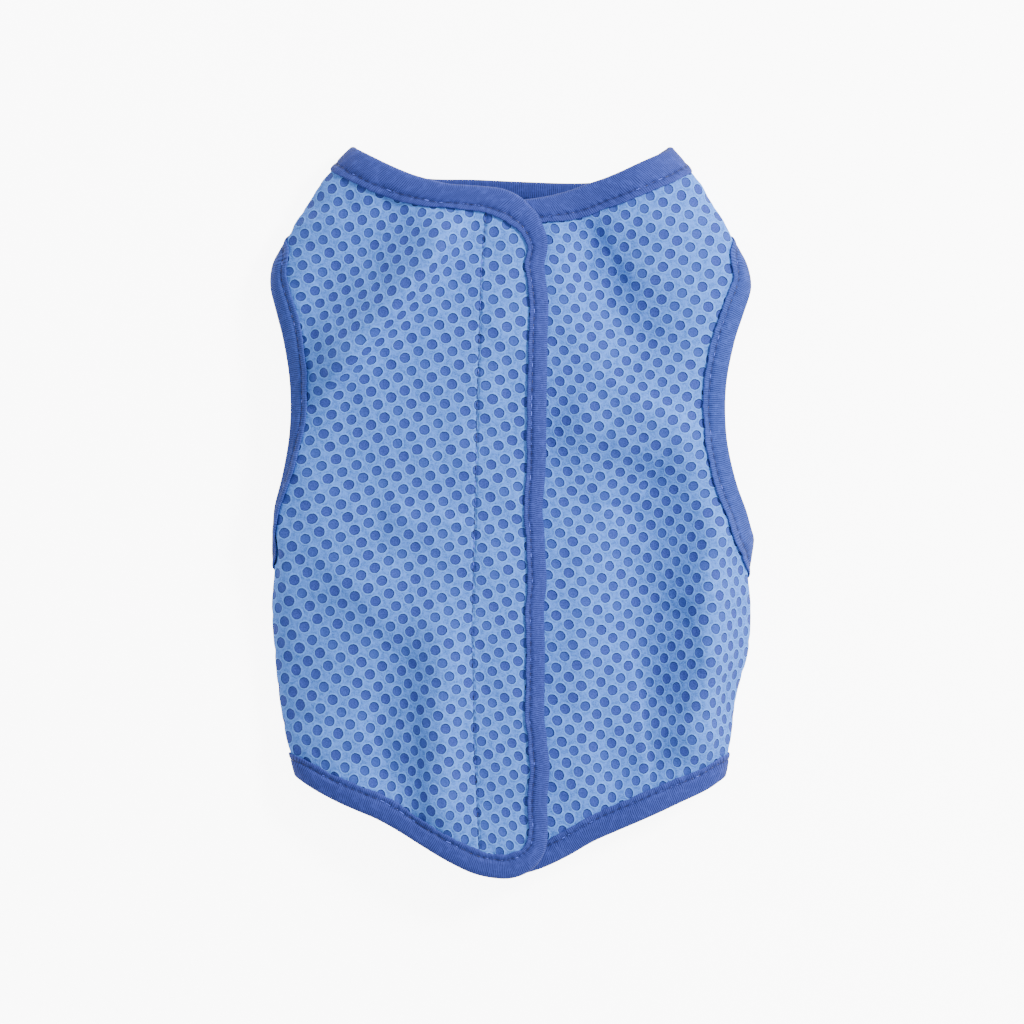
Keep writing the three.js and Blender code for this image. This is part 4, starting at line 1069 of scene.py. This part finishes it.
def tape_material(name, blue, tape, stitching):
    """Woven binding tape, ribbed across its width and drawn in along its row of stitches."""
    material, tree, shader = new_material(name, 0.72, 0.05, (0.75, 0.85, 1), 0.12)
    place, seam = uv_map(tree, "tape"), apart(tree, uv_map(tree, "seam"))
    ribs = place_group(tree, rib_group(), Place=place, Pitch=tape.rib_pitch)
    fibres = place_group(tree, fibre_group(), Place=place, Fineness=0.8)

    def layer(share, under, over, blend_type="MIX"):
        return blend_colours(tree, share, under, over, blend_type)

    # Painted light and shade: the tape is painted lighter on the ribs' crests and darker between
    # them
    tone = layer(map_range(tree, ribs["Rib shading"], 0.15, 0.95), shade(blue, 0.5), shade(blue, 1.6))
    tone = layer(map_range(tree, fibres["Mottle"], 0.45, 0.75, 0.0, 0.6), tone, shade(blue, 2.0))
    lip = stitching.lip_inset
    # Painted highlight: the raised strip between the row of stitches and the lip is painted
    # lighter, as if it catches the light
    lightened = map_range(tree, seam["Y"], lip * 0.55, lip * 0.95)
    tone = layer(maths(tree, "MULTIPLY", lightened, 0.3), tone, shade(blue, 1.7))
    row = {"Along": seam["X"], "Across": seam["Y"], "Stitch": stitching.stitch}
    sewn = place_group(tree, seam_group(), Reach=0.0007, **row)
    # Painted shade: the tape along its row of stitches is painted darker, as the shade in their
    # groove
    tone = layer(maths(tree, "MULTIPLY", sewn["Groove shade"], 0.75), tone, shade(blue, 0.42))
    stained = map_range(tree, fibres["Broad"], 0.3, 0.7, 0.0, 0.3)
    tone = layer(stained, tone, (0.78, 0.8, 0.86, 1), "MULTIPLY")
    # Painted shade: near the floor, under the cloth's curve, the tape is painted darker
    low = map_range(tree, apart(tree, object_place(tree))["Z"], 0.009, 0.0025)
    tone = layer(low, tone, (0.5, 0.55, 0.64, 1), "MULTIPLY")
    tree.links.new(tone, shader.inputs["Base Color"])
    weave = bumped(tree, 0.7, 0.00014, ribs["Height"])
    soft = bumped(tree, 0.6, 0.0004, fibres["Mottle"], Normal=weave)
    furrow = maths(tree, "MULTIPLY", sewn["Pucker"], -1.0)
    tree.links.new(bumped(tree, 0.8, 0.0004, furrow, Normal=soft), shader.inputs["Normal"])
    return material


def thread_material(name, blue):
    """Thread with a fine twist and small bright glints."""
    material, tree, shader = new_material(name, 0.38, gloss=0.45)
    place = object_place(tree)
    twist, glint = (noise(tree, place, scale, Detail=1.0) for scale in (1500.0, 330.0))
    spun = map_range(tree, twist, 0.35, 0.7)
    tone = blend_colours(tree, spun, shade(blue, 0.6), shade(blue, 1.6))
    tone = blend_colours(tree, map_range(tree, glint, 0.54, 0.66), tone, shade(blue, 7.0))
    tree.links.new(tone, shader.inputs["Base Color"])
    tree.links.new(bumped(tree, 0.5, 0.0001, twist), shader.inputs["Normal"])
    return material


def fastener_material(name, blue, looped):
    """Hook tape with rows of fine hooks, or loop tape with a napped face."""
    rough, fineness, pitch = (0.85, 1.0, 0.0016) if looped else (0.6, 0.6, 0.0011)
    material, tree, shader = new_material(name, rough, 0.05, (0.75, 0.85, 1), 0.2)
    place = uv_map(tree, "cloth")
    fibres = place_group(tree, fibre_group(), Place=place, Fineness=fineness)
    rows = place_group(tree, rib_group(), Place=place, Pitch=pitch)
    grain = map_range(tree, fibres["Grain"], 0.3, 0.7)
    tone = blend_colours(tree, grain, shade(blue, 0.75), shade(blue, 1.3))
    # Painted light and shade: the rows are painted lighter along their crests
    lines = map_range(tree, rows["Rib shading"], 0.1, 0.9, 0.0, 0.3)
    tone = blend_colours(tree, lines, tone, shade(blue, 1.5))
    tree.links.new(tone, shader.inputs["Base Color"])
    high = fibres["Mottle"] if looped else rows["Height"]
    tree.links.new(bumped(tree, 0.9, 0.0005, high), shader.inputs["Normal"])
    return material


# Pieces

KNIT_WALL = 0.85  # the cloth's wall, as a share of its thickness over the dimples


def panel_mesh(name, form, cloth, panel, columns, rows):
    if panel == "back":
        u, v = back_places(form, columns, rows)
        base = np.stack([u, v], axis=-1)
        row = np.full(u.shape, 1.0)
    else:
        u, v, _ = front_places(form, panel, columns, rows)
        base = np.stack([SIGN[panel] * (u + form.girth(panel, v)), v], axis=-1)
        row = np.full(u.shape, 1.0)
        if panel == "overlap":
            row = base[..., 0] - form.fastener_row(v)
    points, normals = form.point(panel, u, v), form.normal(panel, u, v)
    flat = spread_out(points, base)
    net = dimple_field(panel, flat)
    near = np.linalg.norm(net - np.rint(net), axis=2) * cloth.dimple_pitch
    pressed = np.cos(np.clip(near / (cloth.dimple_width * 0.66), 0, 1) * math.pi) * 0.5 + 0.5
    outside = points + normals * (form.cloth / 2 - cloth.dimple_depth * pressed)[..., None]
    maps = {"dimples": net, "cloth": flat, "seam": np.stack([v, row], axis=-1)}
    return grid_mesh(name, outside + DRAWING_MIDDLE, maps, outward=normals)


def knit():
    """The material that the three panels share."""
    scene, name = bpy.context.scene, "Dimpled cloth"
    made = bpy.data.materials.get(name)
    return made or cloth_material(name, scene.vest_cloth, scene.vest_stitching)


class VEST_OT_front_panels(bpy.types.Operator):
    """Makes the two front panels of dimpled cloth"""

    bl_idname = "vest.front_panels"
    bl_label = "Front Panels"

    def execute(self, context):
        form, cloth = vest_form(), context.scene.vest_cloth
        material = knit()
        for panel, flat in (("overlap", (0.125, 0.277)), ("underlap", (0.125, 0.277))):
            name, stands_for = f"{panel}_front_cloth", (f"{panel}_front_panel",)
            mesh = panel_mesh(name, form, cloth, panel, cloth.columns, cloth.rows)
            piece = add_piece(name, mesh, material, stands_for, form.cloth * KNIT_WALL)
        return {"FINISHED"}


class VEST_OT_back_panel(bpy.types.Operator):
    """Makes the back panel of dimpled cloth, which lies on the floor"""

    bl_idname = "vest.back_panel"
    bl_label = "Back Panel"

    def execute(self, context):
        form, cloth = vest_form(), context.scene.vest_cloth
        material = knit()
        mesh = panel_mesh("back_cloth", form, cloth, "back", 120, 170)
        wall = form.cloth * KNIT_WALL
        piece = add_piece("back_cloth", mesh, material, ("back_panel",), wall)
        return {"FINISHED"}


def tape_profile(form, inset):
    """The tape's section: from the front lip round the fold to the back lip, and back inside.

    Each point is how far in it is from the cut edge, and how far up from the middle of the cloth.
    """
    lap, out, thick, edge = form.lap, form.tape_out - 0.0003, form.tape, form.tape_edge
    inner = out - thick * 0.8
    lip = ((0.0001, 0.8), (0.00022, 0.55), (0.00012, 0.25), (-0.00025, 0.06))
    face = [(lap + beyond, out - sunk * thick) for beyond, sunk in lip]
    seam = lap - inset
    by_seam = [seam + off for off in (0.0007, 0.00035, 0, -0.00035, -0.0007)]
    for w in [lap - 0.0008, *by_seam, *np.linspace(seam - 0.0016, 0.0006, 5)]:
        puff = 0.00016 * math.sin(math.pi * np.clip((w + 0.0005) / (seam + 0.0005), 0, 1))
        pinch = 0.00034 * math.exp(-(((w - seam) / 0.0005) ** 2))
        droop = 0.0003 * max(0.0, 1 - w / 0.004) ** 2
        face.append((w, out + puff - pinch - droop))
    for a in np.linspace(0.25, math.pi / 2, 5):
        face.append((0.0002 - (edge + 0.0002) * math.sin(a), (out - 0.0002) * math.cos(a)))
    lower = [(w, -o) for w, o in face[:-1]][::-1]
    inside = [(lap * 0.6, -inner), (lap * 0.1, -inner), (-0.0004, -inner * 0.6)]
    return np.array(face + lower + inside + [(w, -o) for w, o in inside[::-1]])


def taped_ring(form, profile, stretches):
    """Rows of section points along a loop of cut edge. Each stretch is (surface, u, v)."""
    middle = np.concatenate([form.point(s, u, v) for s, u, v in stretches])
    normal = np.concatenate([form.normal(s, u, v) for s, u, v in stretches])
    tangent = unit(np.roll(middle, -1, axis=0) - np.roll(middle, 1, axis=0))
    inward = unit(np.cross(normal, tangent))
    upright = smooth_step((np.abs(tangent[:, 1]) - 0.55) / 0.4) * (np.abs(middle[:, 0]) < 0.03)
    narrow = 1 - form.FRONT_NARROWING * smooth_along(upright[:, None], 40)[:, 0]
    flatness = [1.0 if s == "back" else form.FRONT_FLATTER for s, _, _ in stretches]
    flatter = np.repeat(flatness, [len(u) for _, u, _ in stretches])
    ring = np.zeros((len(middle), len(profile), 3))
    start, probe = 0, 0.0001
    for surface, u, v in stretches:
        part = slice(start, start + len(u))
        start += len(u)
        du = (form.point(surface, u + probe, v) - form.point(surface, u - probe, v)) / (2 * probe)
        dv = (form.point(surface, u, v + probe) - form.point(surface, u, v - probe)) / (2 * probe)
        a, b, c = (du * du).sum(1), (dv * dv).sum(1), (du * dv).sum(1)
        t, size = tangent[part], a * b - c**2
        tu, tv = (t * du).sum(1), (t * dv).sum(1)
        along = unit(np.stack([(tu * b - tv * c) / size, (tv * a - tu * c) / size], axis=1))
        square = np.stack([-along[:, 1], along[:, 0]], axis=1)
        facing = ((square[:, :1] * du + square[:, 1:] * dv) * inward[part]).sum(1)
        square *= np.sign(facing)[:, None]
        known = {}
        for column, (w, o) in enumerate(profile):
            reach = round(max(w, 0), 6)
            if reach not in known:
                place = [way + square[:, k] * reach * narrow[part] for k, way in enumerate((u, v))]
                known[reach] = form.point(surface, *place), form.normal(surface, *place)
            p, m = known[reach]
            ring[part, column] = p + m * o * flatter[part][:, None] + inward[part] * min(w, 0)
    return ring, middle


SEAM_SKIP = 2  # places left out of the back panel's edges, next to the seams


def smooth_along(ring, times):
    for _ in range(times):
        ring = ring * 0.5 + (np.roll(ring, 1, axis=0) + np.roll(ring, -1, axis=0)) * 0.25
    return ring


def edge_stretches(form):
    """The vest's whole open edge: neck, front edges and hem in one run."""
    over = np.stack(front_places(form, "overlap", 150, 330)[:2])
    under = np.stack(front_places(form, "underlap", 150, 330)[:2])
    back = np.stack(back_places(form, 190, 200))[..., SEAM_SKIP:-SEAM_SKIP]
    return [
        ("overlap", *over[:, -1]),
        ("back", *back[:, -1]),
        ("underlap", *under[:, -1, ::-1]),
        ("underlap", *under[:, -2:0:-1, 0]),
        ("underlap", *under[:, 0]),
        ("back", *back[:, 0, ::-1]),
        ("overlap", *over[:, 0, ::-1]),
        ("overlap", *over[:, 1:-1, 0]),
    ]


def armhole_stretches(form, panel):
    """One armhole's edge: over the front panel, and back over the back panel."""
    side, count = SIDE[panel], 190
    rows, start, end = front_places(form, panel, 20, 20)[2]
    front = outer_places(rows, np.linspace(start, end, count))
    low, high = form.underarm_seam(side), form.shoulder_seam
    share = (1 - np.cos(np.linspace(0, math.pi, count))) / 2
    y = (low + (high - low) * share)[SEAM_SKIP:-SEAM_SKIP]
    back = np.stack([SIGN[panel] * form.back_armhole(side, y), y], axis=1)
    if side == "left":
        front = front[::-1]
    else:
        back = back[::-1]
    return [(panel, front[:, 0], front[:, 1]), ("back", back[:, 0], back[:, 1])]


def scallop(ring, profile, run, lap, stitch):
    """Draws the lips in a little between the stitches, and unevenly along the tape."""
    turn = math.tau * run
    wave = 0.0001 * np.cos(turn / stitch)
    wave = wave + 0.00012 * np.sin(turn / 0.0173) + 0.0001 * np.sin(turn / 0.0111 + 1)
    reach = smooth_step((profile[:, 0] / lap - 0.7) / 0.3)
    inward = unit(ring[:, 3] - ring[:, 9])
    return ring + inward[:, None] * wave[:, None, None] * reach[None, :, None]


def tape_ring(form, profile, stitching, stretches):
    """The tape's sections along a loop of cut edge, and the way along it to each of them."""
    ring, middle = taped_ring(form, profile, stretches)
    ring = smooth_along(ring, 3)
    run = run_along(np.concatenate([middle, middle[:1]]))
    if len(profile) > 2:
        ring = scallop(ring, profile, run[:-1], form.lap, stitching.stitch)
    return ring, run


TAPES = (
    ("edge_tape", "edge_binding"),
    ("left_armhole_tape", "left_armhole_binding"),
    ("right_armhole_tape", "right_armhole_binding"),
)


def tape_stretches(form, name):
    if name == "edge_tape":
        return edge_stretches(form)
    return armhole_stretches(form, "overlap" if name.startswith("left") else "underlap")


class VEST_OT_bindings(bpy.types.Operator):
    """Makes the folded tapes over the vest's cut edges"""

    bl_idname = "vest.bindings"
    bl_label = "Bindings"

    def execute(self, context):
        scene, form = context.scene, vest_form()
        tape, stitching = scene.vest_tape, scene.vest_stitching
        profile = tape_profile(form, stitching.lip_inset)
        for name, stands_for in TAPES:
            ring, run = tape_ring(form, profile, stitching, tape_stretches(form, name))
            closed = np.concatenate([ring, ring[:1]])
            closed = np.concatenate([closed, closed[:, :1]], axis=1)
            girth = run_along(np.vstack([profile, profile[:1]]))
            place = np.stack(np.broadcast_arrays(run[:, None], girth[None, :]), axis=-1)
            from_seam = np.append(profile[:, 0], profile[0, 0]) - (form.lap - stitching.lip_inset)
            seam = np.stack(np.broadcast_arrays(run[:, None], from_seam[None, :]), axis=-1)
            blue = tape.edge_blue if name == "edge_tape" else tape.armhole_blue
            material = tape_material(name.replace("_", " ").capitalize(), blue, tape, stitching)
            maps = {"tape": place, "seam": seam}
            mesh = grid_mesh(name, closed + DRAWING_MIDDLE, maps, closed=True)
            piece = add_piece(name, mesh, material, (stands_for,))
        return {"FINISHED"}


def sew(bm, line, outward, stitching):
    """Lays one row of stitches along a line of points. "outward" points away from the cloth."""
    one = bmesh.new()
    bmesh.ops.create_uvsphere(one, u_segments=6, v_segments=6, radius=1)
    template = bpy.data.meshes.new("stitch")
    one.to_mesh(template)
    one.free()
    run = run_along(line)
    count = max(1, round(run[-1] / stitching.stitch))
    chance = np.random.default_rng(count)
    long, thick = stitching.stitch - stitching.gap, stitching.thread
    for k in range(count):
        at = (k + 0.5 + chance.uniform(-0.06, 0.06)) * run[-1] / count
        reads = ((at, line), (at - long / 2, line), (at + long / 2, line), (at, outward))
        spot, before, after, up = (
            np.array([np.interp(place, run, source[:, c]) for c in range(3)])
            for place, source in reads
        )
        ahead = Vector(after - before).normalized()
        side = Vector(up).cross(ahead).normalized()
        rise = ahead.cross(side)
        turn = Matrix((ahead, side, rise)).transposed().to_4x4()
        size = Matrix.Diagonal((thick * 0.45, thick / 2, long / 2 * chance.uniform(0.92, 1.04), 1))
        stand = Matrix.Rotation(math.pi / 2, 4, "Y")
        place = Matrix.Translation(Vector(spot) + rise * thick * 0.08) @ turn @ stand @ size
        bm.from_mesh(template)
        bm.verts.ensure_lookup_table()
        for vertex in bm.verts[-len(template.vertices):]:
            vertex.co = place @ vertex.co
    bpy.data.meshes.remove(template)


class VEST_OT_stitches(bpy.types.Operator):
    """Sews the rows of stitches along the tapes and down the overlap over the fastener"""

    bl_idname = "vest.stitches"
    bl_label = "Stitches"

    def execute(self, context):
        form, stitching = vest_form(), context.scene.vest_stitching
        thread = thread_material("Thread", stitching.colour)
        profile = tape_profile(form, stitching.lip_inset)
        seam = form.lap - stitching.lip_inset
        faces = [
            [k for k in range(len(profile)) if way * profile[k, 1] > form.tape_out * 0.6]
            for way in (1, -1)
        ]
        rows = [min(face, key=lambda k: abs(profile[k, 0] - seam)) for face in faces]
        for name, _ in TAPES:
            ring, _ = tape_ring(form, profile[rows], stitching, tape_stretches(form, name))
            bm = bmesh.new()
            for here, there in ((0, 1), (1, 0)):
                line = np.concatenate([ring[:, here], ring[:1, here]]) + DRAWING_MIDDLE
                outward = unit(ring[:, here] - ring[:, there])
                sew(bm, line, np.concatenate([outward, outward[:1]]), stitching)
            self.finish(name.replace("_tape", "_stitches"), bm, thread)
        top = float(form.neck_edge("overlap", -0.01)) - form.lap
        low = float(form.hem_edge("overlap", -0.012)) + form.lap
        y = np.linspace(top, low, 400)
        run = np.array([form.on_front("overlap", -float(form.fastener_row(v)), v)[0] for v in y])
        points, normals = form.front_point("overlap", run, y), form.normal("overlap", run, y)
        bm = bmesh.new()
        sew(bm, points + normals * form.cloth * 0.5 + DRAWING_MIDDLE, normals, stitching)
        self.finish("fastener_stitches", bm, thread)
        return {"FINISHED"}

    def finish(self, name, bm, thread):
        for face in bm.faces:
            face.smooth = True
        mesh = bpy.data.meshes.new(name)
        bm.to_mesh(mesh)
        bm.free()
        add_piece(name, mesh, thread)


class VEST_OT_fastener(bpy.types.Operator):
    """Makes the hook tape and the loop tape pressed together between the front panels"""

    bl_idname = "vest.fastener"
    bl_label = "Fastener"

    def execute(self, context):
        scene, form = context.scene, vest_form()
        fastener = scene.vest_fastener
        hook_right = form.overlap_reach - form.lap - fastener.ease
        loop_left = -form.underlap_reach + form.lap + fastener.ease
        first = form.cloth / 2 + form.CLEARANCE + form.FASTENER / 2
        second = form.layer_step - first
        tapes = (
            ("hook_tape", hook_right - fastener.hook_width, hook_right, first, False),
            ("loop_tape", loop_left, loop_left + fastener.loop_width, second, True),
        )
        for name, left, right, drop, looped in tapes:
            across = np.linspace(left, right, 17)
            ends = form.lap + 0.012
            top = min(float(form.neck_edge(p, x)) for p in SIGN for x in across) - ends
            low = max(float(form.hem_edge(p, x)) for p in SIGN for x in across) + ends
            x, y = np.meshgrid(across, np.linspace(low, top, 170))
            high = form.dome("overlap", x, y) - drop + fastener.thickness / 2
            points = np.stack([x, y, high], axis=-1) + DRAWING_MIDDLE
            upward = np.broadcast_to((0, 0, 1), points.shape)
            mesh = grid_mesh(name, points, {"cloth": np.stack([y, x], axis=-1)}, outward=upward)
            label = name.replace("_", " ").capitalize()
            material = fastener_material(label, fastener.colour, looped)
            stands_for = ("hook_and_loop_strip",) if looped else ()
            piece = add_piece(name, mesh, material, stands_for, fastener.thickness)
            edges = piece.modifiers.new("Edges", "BEVEL")
            edges.width, edges.segments, edges.limit_method = fastener.thickness * 0.3, 2, "ANGLE"
        return {"FINISHED"}


class VEST_OT_stage(bpy.types.Operator):
    """Makes the floor, the soft light and the camera straight above"""

    bl_idname = "vest.stage"
    bl_label = "Stage"

    def execute(self, context):
        scene, stage = context.scene, context.scene.vest_stage
        bm = bmesh.new()
        down = Matrix.Translation((0, 0, -0.0002))
        bmesh.ops.create_grid(bm, x_segments=1, y_segments=1, size=2.5, matrix=down)
        mesh = bpy.data.meshes.new("floor")
        bm.to_mesh(mesh)
        bm.free()
        material, tree, shader = new_material("Pale floor", 0.9)
        grain = noise(tree, object_place(tree), 9.0)
        tone = blend_colours(tree, grain, shade(stage.floor, 1), shade(stage.floor, 0.99))
        tree.links.new(tone, shader.inputs["Base Color"])
        shader.inputs["Emission Color"].default_value = (1, 1, 1, 1)
        seen = node(tree, "ShaderNodeLightPath").outputs["Is Camera Ray"]
        glow = maths(tree, "MULTIPLY_ADD", seen, stage.glow - stage.bounce, stage.bounce)
        tree.links.new(glow, shader.inputs["Emission Strength"])
        mesh.materials.append(material)
        self.placed("floor", mesh)

        world = scene.world or bpy.data.worlds.new("Studio")
        scene.world = world
        world.use_nodes = True
        nodes = world.node_tree.nodes
        back = nodes.get("Background") or nodes.new("ShaderNodeBackground")
        back.inputs["Color"].default_value = (1, 1, 1, 1)
        back.inputs["Strength"].default_value = stage.fill

        lamp = bpy.data.lights.new("key", "AREA")
        lamp.shape, lamp.size, lamp.energy = "DISK", 0.4, stage.key_power
        key = self.placed("key", lamp)
        key.location = (1.15, 0.75, 1.05)
        key.rotation_euler = (-key.location).to_track_quat("-Z", "Y").to_euler()

        eye = bpy.data.cameras.new("camera")
        camera = self.placed("camera", eye)
        camera.location = (*DRAWING_MIDDLE[:2], stage.camera_height)
        eye.sensor_width = 36
        eye.lens = eye.sensor_width * stage.camera_height / stage.view_width
        eye.clip_end = 20
        scene.camera = camera
        return {"FINISHED"}

    def placed(self, name, data):
        made = bpy.data.objects.new(name, data)
        bpy.context.scene.collection.objects.link(made)
        return made


class VEST_PT_sidebar(bpy.types.Panel):
    """Lists the vest's steps and measures"""

    bl_idname = "VEST_PT_sidebar"
    bl_label = "Cooling Vest"
    bl_space_type = "VIEW_3D"
    bl_region_type = "UI"
    bl_category = "Cooling Vest"

    def draw(self, context):
        layout = self.layout
        for step in STEPS:
            layout.operator(step.bl_idname)
        for name in GROUPS:
            group = getattr(context.scene, name)
            box = layout.box()
            for key in group.__annotations__:
                box.prop(group, key)


GROUPS = {
    "vest_shape": VestShape,
    "vest_cloth": VestCloth,
    "vest_tape": VestTape,
    "vest_stitching": VestStitching,
    "vest_fastener": VestFastener,
    "vest_stage": VestStage,
}
STEPS = (
    VEST_OT_stage,
    VEST_OT_back_panel,
    VEST_OT_front_panels,
    VEST_OT_fastener,
    VEST_OT_bindings,
    VEST_OT_stitches,
)


def register():
    for kind in (*GROUPS.values(), *STEPS, VEST_PT_sidebar):
        bpy.utils.register_class(kind)
    for name, kind in GROUPS.items():
        setattr(bpy.types.Scene, name, PointerProperty(type=kind))


def unregister():
    for name in GROUPS:
        delattr(bpy.types.Scene, name)
    for kind in (VEST_PT_sidebar, *STEPS[::-1], *list(GROUPS.values())[::-1]):
        bpy.utils.unregister_class(kind)


def main():
    register()
    bpy.ops.vest.stage()
    bpy.ops.vest.back_panel()
    bpy.ops.vest.front_panels()
    bpy.ops.vest.fastener()
    bpy.ops.vest.bindings()
    bpy.ops.vest.stitches()


if __name__ == "__main__":
    main()
